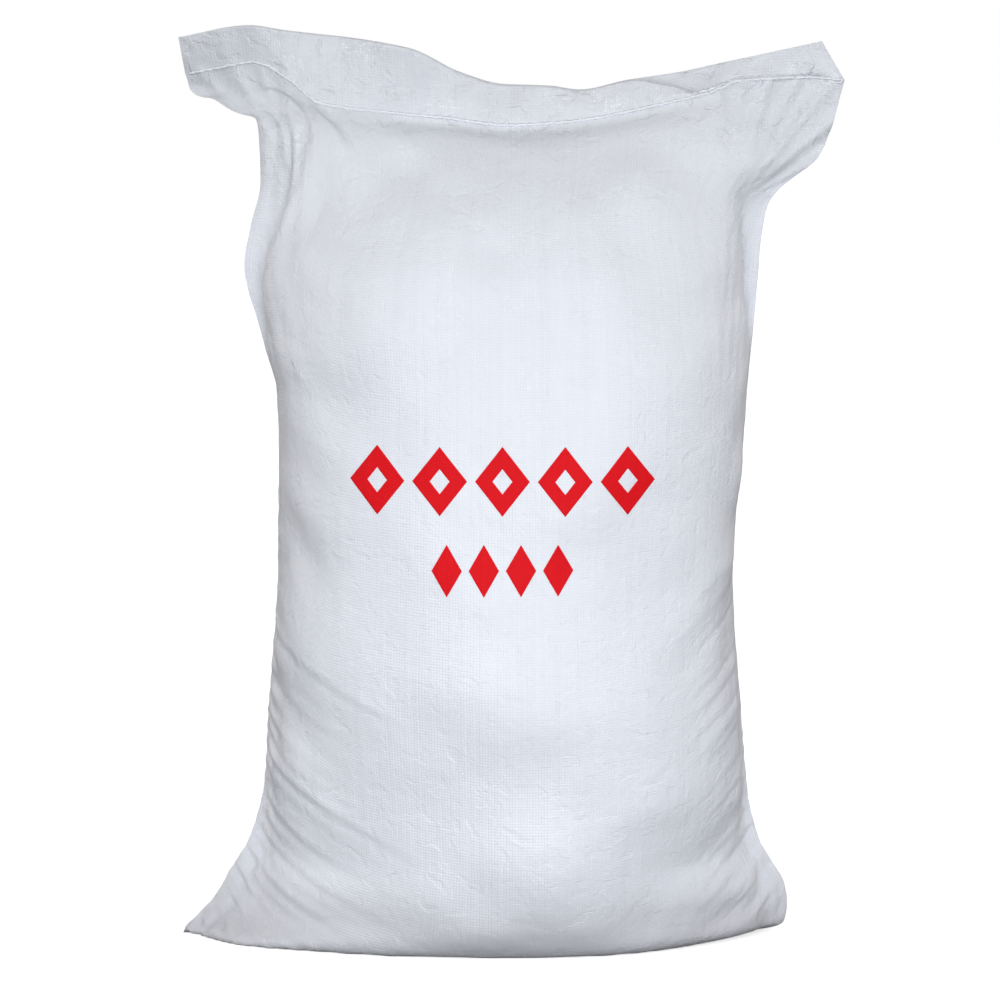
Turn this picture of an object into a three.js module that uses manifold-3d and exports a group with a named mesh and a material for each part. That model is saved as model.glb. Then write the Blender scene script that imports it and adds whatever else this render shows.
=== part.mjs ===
// A woven plastic sack that holds 50 kg of sugar. It stands upright, and its mouth is sewn shut.
// Millimetres, +Z up. The printed face looks along -Y, and the origin is the middle of the base.
import * as THREE from "three";
import { mergeVertices } from "three/addons/utils/BufferGeometryUtils.js";
import Module from "manifold-3d";

// Driving dimensions
const SEAM_HEIGHT = 688.5; // the sewn line at its lowest, midway across
const SHOULDER_HEIGHT = 600; // where the sugar ends and the empty neck begins
const SKIN_HALF = 2; // half the thickness of the closed flap and of the flat ears
const INK_GAP = 0.35; // clearance between the sack and the print
const INK_THICKNESS = 0.45;
const THREAD_RADIUS = 1.1;
const THREAD_GAP = 0.6;
const THREAD_POINTS = 32; // path points on each side of the middle
const THREAD_SIDES = 6; // flats on each half of the thread's section
const THREAD_REACH = 0.97; // how near the thread comes to the side edges, as a share of the columns
const WELD = 1e-4; // points nearer than this are one
const COLUMNS = 36; // from one side edge to the other, on each face
const BODY_SHARE = 13 / 18; // of the columns on each side, those over the filled section
const FLAP_ROWS = 5;

// Heights of the sack's rows, as [from, to, number of steps].
const ROW_BANDS = [
  [0, 60, 8],
  [60, 280, 17],
  [280, 560, 14],
  [560, 683.5, 13],
  [683.5, SEAM_HEIGHT, 1],
];

// Each outline below is [height at the middle of the row, value].
const LEFT_EDGE = [
  [0, 280], [3, 279], [15, 267], [24, 258], [54, 239], [71, 228], [98, 217.5], [128, 211],
  [190, 207], [317, 198], [420, 197], [462, 198.5], [507, 209.5], [569, 225], [600, 220], [625, 211],
  [660, 213], [670, 234], [678, 254], [683, 268], [SEAM_HEIGHT, 276],
];
const RIGHT_EDGE = [
  [0, 212], [3, 226], [8, 234], [24, 236.5], [38, 235], [59, 224], [75, 214.5], [118, 203.5], [190, 197],
  [310, 189.5], [414, 197], [557, 209], [600, 213], [612, 220], [622, 232], [645, 259], [680, 277.5],
  [SEAM_HEIGHT, 281],
];
const LEFT_LIFT = [
  [SHOULDER_HEIGHT, 0], [625, 15], [645, 27], [660, 32], [670, 30], [678, 33], [683, 28], [SEAM_HEIGHT, 41],
];
const RIGHT_LIFT = [
  [SHOULDER_HEIGHT, 0], [612, 14], [622, 17], [645, 16], [665, 23], [680, 33], [SEAM_HEIGHT, 37.5],
];
// How far the flattened side fold reaches outside the filled section.
const LEFT_FIN = [
  [0, 14], [24, 14], [60, 13], [98, 9], [170, 5], [450, 3], [530, 9], [570, 17], [600, 20], [640, 26],
  [665, 42], [SEAM_HEIGHT, 84],
];
const RIGHT_FIN = [
  [0, 10], [14, 13], [38, 15], [59, 13], [98, 9], [170, 5], [470, 3], [557, 12], [600, 17], [622, 34],
  [645, 56], [SEAM_HEIGHT, 84],
];
const FIN_LEAST = 12; // a side fold shorter than this fades into the round of the section
// Half the thickness of a side fold's root, as a share of the fold's length: the bottom corners are wedges.
const ROOT_SHARE = [
  [0, 0.9], [110, 0.9], [200, 0.36],
];
const ROOT_TAPER = [
  [0, 1.1], [110, 1.1], [200, 1.6],
];
const ROOT_END = [640, 680]; // between these heights the root thins out into the flat mouth
const EDGE_ROUNDING = 24;
const BLEND_POWER = 4; // how sharply the body, the side fold and the flat mouth meet in the section
const EDGE_CROWDING = 1.5; // how much closer the columns stand towards a side fold's edge
// How far the middle of the section stands behind the origin: the sugar has settled forwards low down.
const MIDDLE_SHIFT = [
  [0, 4], [180, 1], [480, 8], [640, 4],
];
// The bottom corners point forwards, from this far across over this length, and up to this height.
const CORNER_FORWARD = 25;
const CORNER_START = 150;
const CORNER_LENGTH = 130;
const CORNER_HEIGHT = 110;
const HALF_DEPTH = [
  [0, 122], [4, 127], [12, 132], [28, 136], [55, 141], [110, 147], [200, 151], [300, 150], [400, 146],
  [500, 136], [560, 117], [600, 93], [630, 69], [655, 45], [672, 25], [680, 10], [683.5, 2.4],
  [SEAM_HEIGHT, SKIN_HALF],
];
// The power of the section's ends: under 0.5 is boxy, and towards 1 they run out to a point.
const LEFT_POWER = [
  [0, 0.62], [30, 0.78], [65, 0.76], [130, 0.54], [250, 0.44], [480, 0.44], [600, 0.52], [SEAM_HEIGHT, 0.75],
];
const RIGHT_POWER = [
  [0, 0.75], [30, 0.78], [65, 0.72], [130, 0.52], [250, 0.44], [480, 0.44], [600, 0.52],
  [SEAM_HEIGHT, 0.75],
];
const SECTION_FLATNESS = 2.5;
const LIFT_BEND = 2.5; // how suddenly a row rises towards its ends
const FLOOR_SHARES = [0.4, 0.75]; // rows drawn across the floor patch, as shares of its half depth

// The sewn line and the flap's two lips, as [distance across, height].
const SEAM_LINE = [
  [-276, 729.5], [-245, 736], [-216, 741], [-187, 727], [-160, 707], [-106, 699.5], [-50, 694], [-5, 688.5],
  [40, 690.5], [72, 694.5], [104, 701], [131, 707], [171, 717], [192, 725.5], [255, 728.5], [281, 726],
];
const BACK_LIP = [
  [-281, 761], [-218, 772], [-194, 768.5], [-84, 753], [-43, 732.5], [-5, 722], [30, 721], [59, 717.5],
  [97, 725], [148, 733], [176, 739.5], [262, 758.5],
];
const FRONT_LIP_DROP = [
  [-281, 0], [40, 0], [97, 5], [148, 13], [176, 16], [240, 22], [262, 19],
];
const FLAP_LEAN = [
  [-281, -12], [-218, -4], [-150, 8], [0, 13], [150, 9], [262, 3],
];
const LIP_END_LEFT = -281;
const LIP_END_RIGHT = 262;

// Where the packed sugar bulges, as [across, height, radius, rise], on the front and on the back.
const FRONT_LUMPS = [
  [-78, 560, 62, 7], [70, 578, 60, 6.5], [10, 505, 60, -6], [-105, 470, 55, 4], [95, 440, 65, 5],
  [-60, 345, 80, 3.5], [60, 265, 75, -4], [5, 222, 70, 8], [38, 70, 62, 9], [-70, 130, 60, -5],
  [120, 150, 55, 4],
];
const BACK_LUMPS = [
  [70, 540, 66, 5], [-75, 500, 60, 4], [0, 410, 80, -4], [80, 300, 70, 4.5], [-70, 240, 70, 5],
  [20, 120, 70, 4], [-110, 90, 50, -3],
];
// Long folds, as [across, height] at both ends, then half width and rise. They show on both faces.
const FOLDS = [
  [-205, 262, -110, 190, 15, 3], [-208, 206, -104, 128, 15, 3.4], [-214, 154, -112, 76, 14, 3.4],
  [-226, 104, -136, 38, 14, 3], [196, 236, 138, 178, 14, 2.6], [204, 168, 142, 104, 14, 2.8],
  [216, 108, 150, 50, 14, 2.8], [-150, 696, -88, 636, 15, 3], [150, 700, 108, 636, 15, 3],
];
const FOLD_FADE = 3; // how far a fold runs out past its ends, in half widths
const RELIEF_SIDE = 45; // the relief fades out over this distance from the middle plane
const RELIEF_FOOT = 30; // and over this height from the floor

// The print: an upper row of open lozenges and a lower row of small solid ones.
const PRINT_MIDDLE = -7;
const UPPER_PRINT = { count: 5, height: 404, width: 45, tall: 57, pitch: 51.5, hole: 0.36 };
const LOWER_PRINT = { count: 4, height: 331, width: 25, tall: 43, pitch: 30.5, hole: 0 };
const PRISM_DEPTH = 200; // deeper than the front face

const SACK_COLOUR = 0xe6ebf2;
const THREAD_COLOUR = 0xf4f6fa;
const INK_COLOUR = 0xdc1a22;

// A smooth curve through [place, value] points that doesn't overshoot them, and is level past both ends.
function curve(points) {
  const last = points.length - 1;
  const step = (i) => points[i + 1][0] - points[i][0];
  const rise = (i) => (points[i + 1][1] - points[i][1]) / step(i);
  const slopes = points.map((_, i) => {
    if (i === 0) return rise(0);
    if (i === last) return rise(last - 1);
    if (rise(i - 1) * rise(i) <= 0) return 0;
    const before = 2 * step(i) + step(i - 1);
    const after = step(i) + 2 * step(i - 1);
    return (before + after) / (before / rise(i - 1) + after / rise(i));
  });
  return (place) => {
    if (place <= points[0][0]) return points[0][1];
    if (place >= points[last][0]) return points[last][1];
    const i = points.findIndex((point) => point[0] > place) - 1;
    const width = step(i);
    const t = (place - points[i][0]) / width;
    return (
      points[i][1] * (1 + 2 * t) * (1 - t) ** 2 +
      points[i + 1][1] * t * t * (3 - 2 * t) +
      width * slopes[i] * t * (1 - t) ** 2 +
      width * slopes[i + 1] * t * t * (t - 1)
    );
  };
}

const leftEdge = curve(LEFT_EDGE);
const rightEdge = curve(RIGHT_EDGE);
const leftLift = curve(LEFT_LIFT);
const rightLift = curve(RIGHT_LIFT);
const leftFin = curve(LEFT_FIN);
const rightFin = curve(RIGHT_FIN);
const rootShare = curve(ROOT_SHARE);
const rootTaper = curve(ROOT_TAPER);
const middleShift = curve(MIDDLE_SHIFT);
const halfDepth = curve(HALF_DEPTH);
const leftPower = curve(LEFT_POWER);
const rightPower = curve(RIGHT_POWER);
const seamLine = curve(SEAM_LINE);
const backLip = curve(BACK_LIP);
const frontLipDrop = curve(FRONT_LIP_DROP);
const flapLean = curve(FLAP_LEAN);

const mix = (a, b, t) => a + (b - a) * t;
const smooth = (t) => THREE.MathUtils.smoothstep(t, 0, 1);

// Half the thickness of the section in the row at height h, at x, measured from the row's middle plane.
function halfThickness(h, x) {
  const edge = x < 0 ? leftEdge(h) : rightEdge(h);
  const fin = x < 0 ? leftFin(h) : rightFin(h);
  const power = x < 0 ? leftPower(h) : rightPower(h);
  const fold = smooth(fin / FIN_LEAST);
  const inBody = Math.min(1, Math.abs(x) / (edge - fin * fold));
  const inEdge = Math.min(1, Math.abs(x) / edge);
  const inFin = THREE.MathUtils.clamp((Math.abs(x) - edge + fin) / fin, 0, 1);
  const body = halfDepth(h) * (1 - inBody ** SECTION_FLATNESS) ** power;
  const flatMouth = smooth((h - ROOT_END[0]) / (ROOT_END[1] - ROOT_END[0]));
  const root = rootShare(h) * fin * fold * (1 - inFin) ** rootTaper(h) * (1 - flatMouth);
  const skin = SKIN_HALF * fold * Math.sqrt(1 - inEdge ** EDGE_ROUNDING);
  return (body ** BLEND_POWER + root ** BLEND_POWER + skin ** BLEND_POWER) ** (1 / BLEND_POWER);
}

// The y of the section's middle in the row at height h, at x.
function middle(h, x) {
  const inCorner = smooth((Math.abs(x) - CORNER_START) / CORNER_LENGTH);
  return middleShift(h) - CORNER_FORWARD * inCorner * (1 - smooth(h / CORNER_HEIGHT));
}

// The distance across at share u of the columns: an even share of them covers each side fold.
function across(h, u) {
  const edge = u < 0 ? leftEdge(h) : rightEdge(h);
  const fin = u < 0 ? leftFin(h) : rightFin(h);
  const inBody = Math.abs(u) / BODY_SHARE;
  if (inBody < 1) return Math.sign(u) * (edge - fin) * Math.sin((inBody * Math.PI) / 2);
  const toTip = (1 - Math.abs(u)) / (1 - BODY_SHARE);
  return Math.sign(u) * (edge - fin * toTip ** EDGE_CROWDING);
}

// How much higher the row at height h runs at x than in its middle: the mouth's ends are pulled up.
function rowLift(h, x) {
  const toLeft = x < 0;
  const edge = toLeft ? leftEdge(h) : rightEdge(h);
  const outwards = Math.abs(x) / edge;
  const lift = toLeft ? leftLift(h) : rightLift(h);
  const seamEnd = toLeft ? -leftEdge(SEAM_HEIGHT) : rightEdge(SEAM_HEIGHT);
  const seamRise = seamLine(seamEnd * outwards) - SEAM_HEIGHT;
  const sewn = seamRise / (seamLine(seamEnd) - SEAM_HEIGHT);
  const nearSeam = smooth((h - SHOULDER_HEIGHT) / (SEAM_HEIGHT - SHOULDER_HEIGHT));
  return lift * mix(outwards ** LIFT_BEND, sewn, nearSeam);
}

// The point of the filled sack in the row at height h, at share u of the columns: -1 is the left edge.
// A face of -1 is the front, and 1 the back.
function bodyPoint(h, u, face) {
  const x = across(h, u);
  return new THREE.Vector3(x, face * halfThickness(h, x) + middle(h, x), h + rowLift(h, x));
}

// The point of the flap above the sewn line, at share g of the way up to its lip.
function flapPoint(g, u, face) {
  const low = bodyPoint(SEAM_HEIGHT, u, face);
  const leftShare = mix(1, -LIP_END_LEFT / leftEdge(SEAM_HEIGHT), g);
  const rightShare = mix(1, LIP_END_RIGHT / rightEdge(SEAM_HEIGHT), g ** 2);
  const x = low.x * (u < 0 ? leftShare : rightShare);
  const drop = face < 0 ? frontLipDrop(x) : 0;
  return new THREE.Vector3(x, low.y + flapLean(x) * smooth(g) * g, mix(low.z, backLip(x) - drop, g));
}

// One closed row of points: across the front from left to right, and back across the rear.
function ring(pointAt) {
  const share = (i) => (2 * i) / COLUMNS - 1;
  const points = [];
  for (let i = 0; i <= COLUMNS; i++) points.push(pointAt(share(i), -1));
  for (let i = COLUMNS - 1; i > 0; i--) points.push(pointAt(share(i), 1));
  return points;
}

// The floor patch: the lowest row again, drawn in towards the bottom seam.
function floorPoint(depthShare, u, face) {
  const point = bodyPoint(0, u, face);
  point.y = mix(middle(0, point.x), point.y, depthShare);
  return point;
}

function sackRings() {
  const rings = FLOOR_SHARES.map((part) => ring((u, face) => floorPoint(part, u, face)));
  ROW_BANDS.forEach(([from, to, steps], band) => {
    for (let k = band ? 1 : 0; k <= steps; k++) {
      rings.push(ring((u, face) => bodyPoint(mix(from, to, k / steps), u, face)));
    }
  });
  for (let k = 1; k <= FLAP_ROWS; k++) rings.push(ring((u, face) => flapPoint(k / FLAP_ROWS, u, face)));
  return rings;
}

const bump = (distance, reach) => Math.exp(-((distance / reach) ** 2));

// Rise of one fold at (x, z): highest along its line, and fading out past its ends.
function foldRise([x0, z0, x1, z1, reach, rise], x, z) {
  const length = Math.hypot(x1 - x0, z1 - z0);
  const along = ((x - x0) * (x1 - x0) + (z - z0) * (z1 - z0)) / length;
  const beside = ((x - x0) * (z1 - z0) - (z - z0) * (x1 - x0)) / length;
  const past = Math.max(0, -along, along - length);
  return rise * bump(beside, reach) * bump(past, reach * FOLD_FADE);
}

// How far the packed sugar and the folds push the skin out at a point of the plain form.
function relief(point) {
  const lumps = point.y < 0 ? FRONT_LUMPS : BACK_LUMPS;
  let total = 0;
  for (const [x, z, reach, rise] of lumps) total += rise * bump(Math.hypot(point.x - x, point.z - z), reach);
  for (const fold of FOLDS) total += foldRise(fold, point.x, point.z);
  return total * smooth(Math.abs(point.y) / RELIEF_SIDE) * smooth(point.z / RELIEF_FOOT);
}

// The outward normal at each point of the rings.
function ringNormals(rings) {
  return rings.map((points, r) =>
    points.map((_, i) => {
      const around = points.length;
      const along = points[(i + 1) % around].clone().sub(points[(i + around - 1) % around]);
      const above = rings[Math.min(r + 1, rings.length - 1)][i];
      const below = rings[Math.max(r - 1, 0)][i];
      return along.cross(above.clone().sub(below)).normalize();
    }),
  );
}

function pushed(rings, normals, distance) {
  return rings.map((points, r) =>
    points.map((point, i) => point.clone().addScaledVector(normals[r][i], distance(point))),
  );
}

// One closed mesh over the rings: the lowest is closed across the floor, and the highest across the lips.
function closedGeometry(rings) {
  const around = rings[0].length;
  const faces = [];
  const triangle = (a, b, c) => {
    if (a !== b && b !== c && a !== c) faces.push(a, b, c);
  };
  const quad = (a, b, c, d) => {
    triangle(a, b, c);
    triangle(a, c, d);
  };
  for (let r = 0; r + 1 < rings.length; r++) {
    for (let i = 0; i < around; i++) {
      const next = (i + 1) % around;
      quad(r * around + i, r * around + next, (r + 1) * around + next, (r + 1) * around + i);
    }
  }
  const top = (rings.length - 1) * around;
  const behind = (i) => (around - i) % around;
  for (let i = 0; i < COLUMNS; i++) {
    quad(behind(i), behind(i + 1), i + 1, i);
    quad(top + i, top + i + 1, top + behind(i + 1), top + behind(i));
  }
  const geometry = new THREE.BufferGeometry().setFromPoints(rings.flat());
  geometry.setIndex(faces);
  return geometry;
}

const wasm = await Module();
wasm.setup();

function toSolid(geometry) {
  const bare = new THREE.BufferGeometry().setAttribute("position", geometry.getAttribute("position"));
  if (geometry.index) bare.setIndex(geometry.index);
  const merged = mergeVertices(bare, WELD);
  return new wasm.Manifold(
    new wasm.Mesh({
      numProp: 3,
      vertProperties: merged.attributes.position.array,
      triVerts: new Uint32Array(merged.index.array),
    }),
  );
}

function toGeometry(solid) {
  const mesh = solid.getMesh();
  const geometry = new THREE.BufferGeometry();
  geometry.setAttribute("position", new THREE.BufferAttribute(mesh.vertProperties, 3));
  geometry.setIndex(new THREE.BufferAttribute(mesh.triVerts, 1));
  return geometry;
}

// A prism along Y through the front of the sack, with a lozenge outline and a lozenge hole.
function lozengePrism(x, z, { width, tall, hole }) {
  const outline = (grow) => [
    new THREE.Vector2(x - (width / 2) * grow, z),
    new THREE.Vector2(x, z - (tall / 2) * grow),
    new THREE.Vector2(x + (width / 2) * grow, z),
    new THREE.Vector2(x, z + (tall / 2) * grow),
  ];
  const shape = new THREE.Shape(outline(1));
  if (hole) shape.holes.push(new THREE.Path(outline(hole)));
  const geometry = new THREE.ExtrudeGeometry(shape, { depth: PRISM_DEPTH, bevelEnabled: false });
  geometry.rotateX(Math.PI / 2);
  return geometry;
}

function material(color, roughness) {
  return new THREE.MeshStandardMaterial({ color, roughness, metalness: 0, flatShading: true });
}

function printRow(row, name, outer, inner) {
  const meshes = [];
  for (let k = 0; k < row.count; k++) {
    const x = PRINT_MIDDLE + (k - (row.count - 1) / 2) * row.pitch;
    const prism = toSolid(lozengePrism(x, row.height, row));
    const mark = prism.intersect(outer).subtract(inner);
    const mesh = new THREE.Mesh(toGeometry(mark), material(INK_COLOUR, 0.55));
    mesh.name = `${name}_${k + 1}`;
    meshes.push(mesh);
  }
  return meshes;
}

// The sewing thread lies along the seam, on one face of it.
function threadMesh(name, face) {
  const path = [];
  for (let k = -THREAD_POINTS; k <= THREAD_POINTS; k++) {
    const point = bodyPoint(SEAM_HEIGHT, (k / THREAD_POINTS) * THREAD_REACH, face);
    point.y = middleShift(SEAM_HEIGHT) + face * (SKIN_HALF + THREAD_GAP + THREAD_RADIUS);
    path.push(point);
  }
  const section = new THREE.Shape();
  section.absarc(0, 0, THREAD_RADIUS, 0, Math.PI * 2);
  const geometry = new THREE.ExtrudeGeometry(section, {
    steps: 2 * THREAD_POINTS,
    curveSegments: THREAD_SIDES,
    extrudePath: new THREE.CatmullRomCurve3(path),
  });
  const mesh = new THREE.Mesh(geometry, material(THREAD_COLOUR, 0.6));
  mesh.name = name;
  return mesh;
}

const plain = sackRings();
const normals = ringNormals(plain);
const sack = pushed(plain, normals, relief);
const sackMesh = new THREE.Mesh(closedGeometry(sack), material(SACK_COLOUR, 0.42));
sackMesh.name = "sack";

const sackNormals = ringNormals(sack);
const inkInner = toSolid(closedGeometry(pushed(sack, sackNormals, () => INK_GAP)));
const inkOuter = toSolid(closedGeometry(pushed(sack, sackNormals, () => INK_GAP + INK_THICKNESS)));

const bag = new THREE.Group();
bag.name = "bag_of_sugar";
bag.add(
  sackMesh,
  threadMesh("closing_thread_front", -1),
  threadMesh("closing_thread_back", 1),
  ...printRow(UPPER_PRINT, "print_upper", inkOuter, inkInner),
  ...printRow(LOWER_PRINT, "print_lower", inkOuter, inkInner),
);

export default bag;
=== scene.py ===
"""A woven plastic sack of sugar, with its folds, sewn mouth, stitches, print and a pale studio.

The form is worked out in millimetres, as the flat sack and its outlines are measured, and every mesh
is made in metres. The print looks along -Y, and the origin is on the floor under the middle.
"""

import math

import bpy
import numpy as np
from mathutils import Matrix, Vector
from mathutils.bvhtree import BVHTree


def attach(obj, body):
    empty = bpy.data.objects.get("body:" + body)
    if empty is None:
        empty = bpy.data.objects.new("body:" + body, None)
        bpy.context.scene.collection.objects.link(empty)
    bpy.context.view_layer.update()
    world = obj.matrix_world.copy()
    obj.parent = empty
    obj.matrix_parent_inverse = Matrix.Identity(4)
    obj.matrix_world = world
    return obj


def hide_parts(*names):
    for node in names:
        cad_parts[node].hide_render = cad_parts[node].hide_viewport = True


bl_info = {
    "name": "Sugar Sack",
    "version": (1, 0, 0),
    "blender": (4, 5, 0),
    "location": "View3D > Sidebar > Sugar Sack",
    "description": "Builds a sewn woven sack of sugar and its studio",
    "category": "Object",
}

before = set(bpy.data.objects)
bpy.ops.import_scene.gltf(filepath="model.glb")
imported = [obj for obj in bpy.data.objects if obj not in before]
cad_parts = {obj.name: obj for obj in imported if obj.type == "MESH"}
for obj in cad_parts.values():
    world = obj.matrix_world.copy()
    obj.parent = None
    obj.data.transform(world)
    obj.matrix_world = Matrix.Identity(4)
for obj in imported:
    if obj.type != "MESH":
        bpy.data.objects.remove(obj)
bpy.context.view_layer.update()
MILLIMETRE = 0.001

# The sack's outlines, as (height at the middle of the row, value). They are those of the solid sack.
SEAM_HEIGHT = 688.5
SHOULDER_HEIGHT = 600
SKIN_HALF = 0.8
SEAM_BACK = 4  # how far behind the origin the sewn line stands
LEFT_EDGE = [
    (0, 280), (3, 279), (15, 267), (24, 258), (54, 239), (71, 228), (98, 217.5), (128, 211),
    (190, 207), (317, 198), (420, 197), (462, 198.5), (507, 209.5), (569, 225), (600, 220),
    (625, 211), (660, 213), (670, 234), (678, 254), (683, 268), (SEAM_HEIGHT, 276),
]
RIGHT_EDGE = [
    (0, 212), (3, 226), (8, 234), (24, 236.5), (38, 235), (59, 224), (75, 214.5), (118, 203.5), (190, 197),
    (310, 189.5), (414, 197), (557, 209), (600, 213), (612, 220), (622, 232), (645, 259),
    (680, 277.5), (SEAM_HEIGHT, 281),
]
LEFT_LIFT = [
    (SHOULDER_HEIGHT, 0), (625, 15), (645, 27), (660, 32), (670, 30), (678, 33), (683, 28),
    (SEAM_HEIGHT, 41),
]
RIGHT_LIFT = [
    (SHOULDER_HEIGHT, 0), (612, 14), (622, 17), (645, 16), (665, 23), (680, 33), (SEAM_HEIGHT, 37.5),
]
LEFT_FIN = [
    (0, 14), (24, 14), (60, 13), (98, 9), (170, 5), (450, 3), (530, 9), (570, 17), (600, 20),
    (640, 26), (665, 42), (SEAM_HEIGHT, 84),
]
RIGHT_FIN = [
    (0, 10), (14, 13), (38, 15), (59, 13), (98, 9), (170, 5), (470, 3), (557, 12), (600, 17),
    (622, 34), (645, 56), (SEAM_HEIGHT, 84),
]
FIN_LEAST = 12
ROOT_SHARE = [(0, 0.9), (110, 0.9), (200, 0.36)]  # the bottom corners are wedges
ROOT_TAPER = [(0, 1.1), (110, 1.1), (200, 1.6)]
ROOT_END = (640, 680)
EDGE_ROUNDING = 24
MIDDLE_SHIFT = [(0, 4), (180, 1), (480, 8), (640, 4)]
CORNER_FORWARD = 25  # the bottom corners point forwards
CORNER_START = 150
CORNER_LENGTH = 130
CORNER_HEIGHT = 110
HALF_DEPTH = [
    (0, 122), (4, 127), (12, 132), (28, 136), (55, 141), (110, 147), (200, 151), (300, 150),
    (400, 146), (500, 136), (560, 117), (600, 93), (630, 69), (655, 45), (672, 25), (680, 10),
    (683.5, 2.4), (SEAM_HEIGHT, SKIN_HALF),
]
LEFT_POWER = [
    (0, 0.62), (30, 0.78), (65, 0.76), (130, 0.54), (250, 0.44), (480, 0.44), (600, 0.52),
    (SEAM_HEIGHT, 0.75),
]
RIGHT_POWER = [
    (0, 0.75), (30, 0.78), (65, 0.72), (130, 0.52), (250, 0.44), (480, 0.44), (600, 0.52),
    (SEAM_HEIGHT, 0.75),
]
SECTION_FLATNESS = 2.5
BLEND_POWER = 4  # how sharply the body, the edge's root and the skin of the section run into each other
LIFT_BEND = 2.5
SEAM_LINE = [
    (-276, 729.5), (-245, 736), (-216, 741), (-187, 727), (-160, 707), (-106, 699.5), (-50, 694),
    (-5, 688.5), (40, 690.5), (72, 694.5), (104, 701), (131, 707), (171, 717), (192, 725.5),
    (255, 728.5), (281, 726),
]
FRONT_LUMPS = [
    (-78, 560, 62, 7), (70, 578, 60, 6.5), (10, 505, 60, -6), (-105, 470, 55, 4),
    (95, 440, 65, 5), (-60, 345, 80, 3.5), (60, 265, 75, -4), (5, 222, 70, 8), (38, 70, 62, 9),
    (-70, 130, 60, -5), (120, 150, 55, 4),
]
BACK_LUMPS = [
    (70, 540, 66, 5), (-75, 500, 60, 4), (0, 410, 80, -4), (80, 300, 70, 4.5), (-70, 240, 70, 5),
    (20, 120, 70, 4), (-110, 90, 50, -3),
]
RELIEF_SIDE = 45
RELIEF_FOOT = 30
# Smaller lumps of the front, of the same kind, that only this skin has.
SMALL_LUMPS = [
    (28, 636, 34, 6), (104, 634, 34, 6), (-56, 602, 36, 6), (92, 549, 28, 4.5), (-15, 497, 38, 5),
    (106, 492, 34, 4.5), (-112, 525, 34, 4), (-45, 420, 40, 3), (60, 405, 36, 3), (26, 84, 38, 4),
]
# Soft noise, as (rows of it up the sack, columns round it, depth): dents all over, what the folds start
# from, and the cloth's small crinkles.
DENTS = [(12, 14, 4.0), (24, 26, 1.8)]
FOLD_STARTS = [(58, 80, 0.5), (90, 60, 0.35)]
CRINKLES = [(130, 150, 0.16), (70, 190, 0.12)]
DENT_SEED = 10
CRINKLE_SEED = 2

# The flap above the sewn line, as (distance across, height) and (distance across, distance).
BACK_LIP = [
    (-281, 761), (-218, 772), (-194, 768.5), (-84, 753), (-43, 732.5), (-5, 722), (30, 721),
    (59, 717.5), (97, 725), (148, 733), (176, 739.5), (262, 758.5),
]
LIP_STEP = 1  # the front lip is this much lower than the back one, as far as FRONT_STRIP starts
FRONT_STRIP = [
    (60, 23.5), (97, 25), (134, 13), (166, 2), (178, 8), (199, 17), (230, 11), (262, 5), (275, 12),
    (281, 32.5),
]
FLAP_LEAN = [
    (-281, 0), (-218, -3), (-150, 2), (-98, -11), (-82, -12), (-50, 9), (0, 13), (150, 9), (262, 3),
]
LIP_GAP = [
    (-281, 0), (-220, 2), (-100, 3), (40, 4), (110, 13), (166, 15), (181, 2.5), (250, 1), (281, 0),
]
FRONT_SHARE = [(60, 0.7), (110, 0.25)]  # the part of that distance by which the front layer comes forwards
TURN_OUT = [(168, 0), (196, 165), (262, 165), (276, 0)]  # degrees by which the front layer folds outwards
TURN_START = 1.2
TURN_REACH = 3.2
LEFT_LIP_END = 5  # the lip reaches this much further out than the sewn line
RIGHT_LIP_END = -19
FLAP_ROWS = 20
LEAN_BEND = 1.2
GAP_BEND = 0.8
LIP_THICKNESS = 0.6
LIP_ROUNDING = 0.3
FLAP_WAVES = [(17, 3, 1.2), (7.3, -5, 0.7), (4.3, 4, 0.45)]  # as (reach, slant, depth)

# The flat sack and the grids that are drawn on it.
FLAT_WIDTH = 560
SIDE_COLUMNS = 40  # from the middle of a face to its side edge, before the grid is made finer
LONG_ROWS = 120  # from the bottom seam to the sewn line
FINE_SAMPLES = 240
ROW_CROWDING = 1.4  # the sampled rows and columns lie closer together at the floor and at the side edges
EDGE_CROWDING = 1.5
WEAVE_UNIT = 1200  # millimetres of cloth in one unit of the weave's map
SLACK_SHARE = [(0, 0), (0.33, 0.66), (0.7, 0.9), (1, 1)]  # where along the sack the spare cloth gathers
SEED = 7
WEAVE_MAP = "Weave"
FILLED = "Filled"  # how much of the sugar lies behind the cloth at each point
FILLED_FROM = (3, 34)  # from the middle plane, where sugar starts to show and where it is thick enough
EAR_FOOT = (660, 610)  # the side folds below these heights show as white as the rest
FLOOR_SHADE_TOP = 0.085  # in metres: below this height painted shade makes the cloth greyer towards the floor
WAVER = 0.35  # in tapes: how far the weave drifts
TAPE_FLATNESS = 2.6
TAPE_ARCH = 0.55
GLINT_CHANCE = (0.62, 1)  # painted glints: from which chance on a crossing a glint is painted, and in which values of the patches
GLINT_PATCHES = (0.52, 0.66)
GLINT_HEIGHTS = (0.52, 0.68)  # the heights in metres between which the painted glints grow stronger
LOW_GLINTS = 0.35
CRINKLE_SCALE = 75

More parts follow.
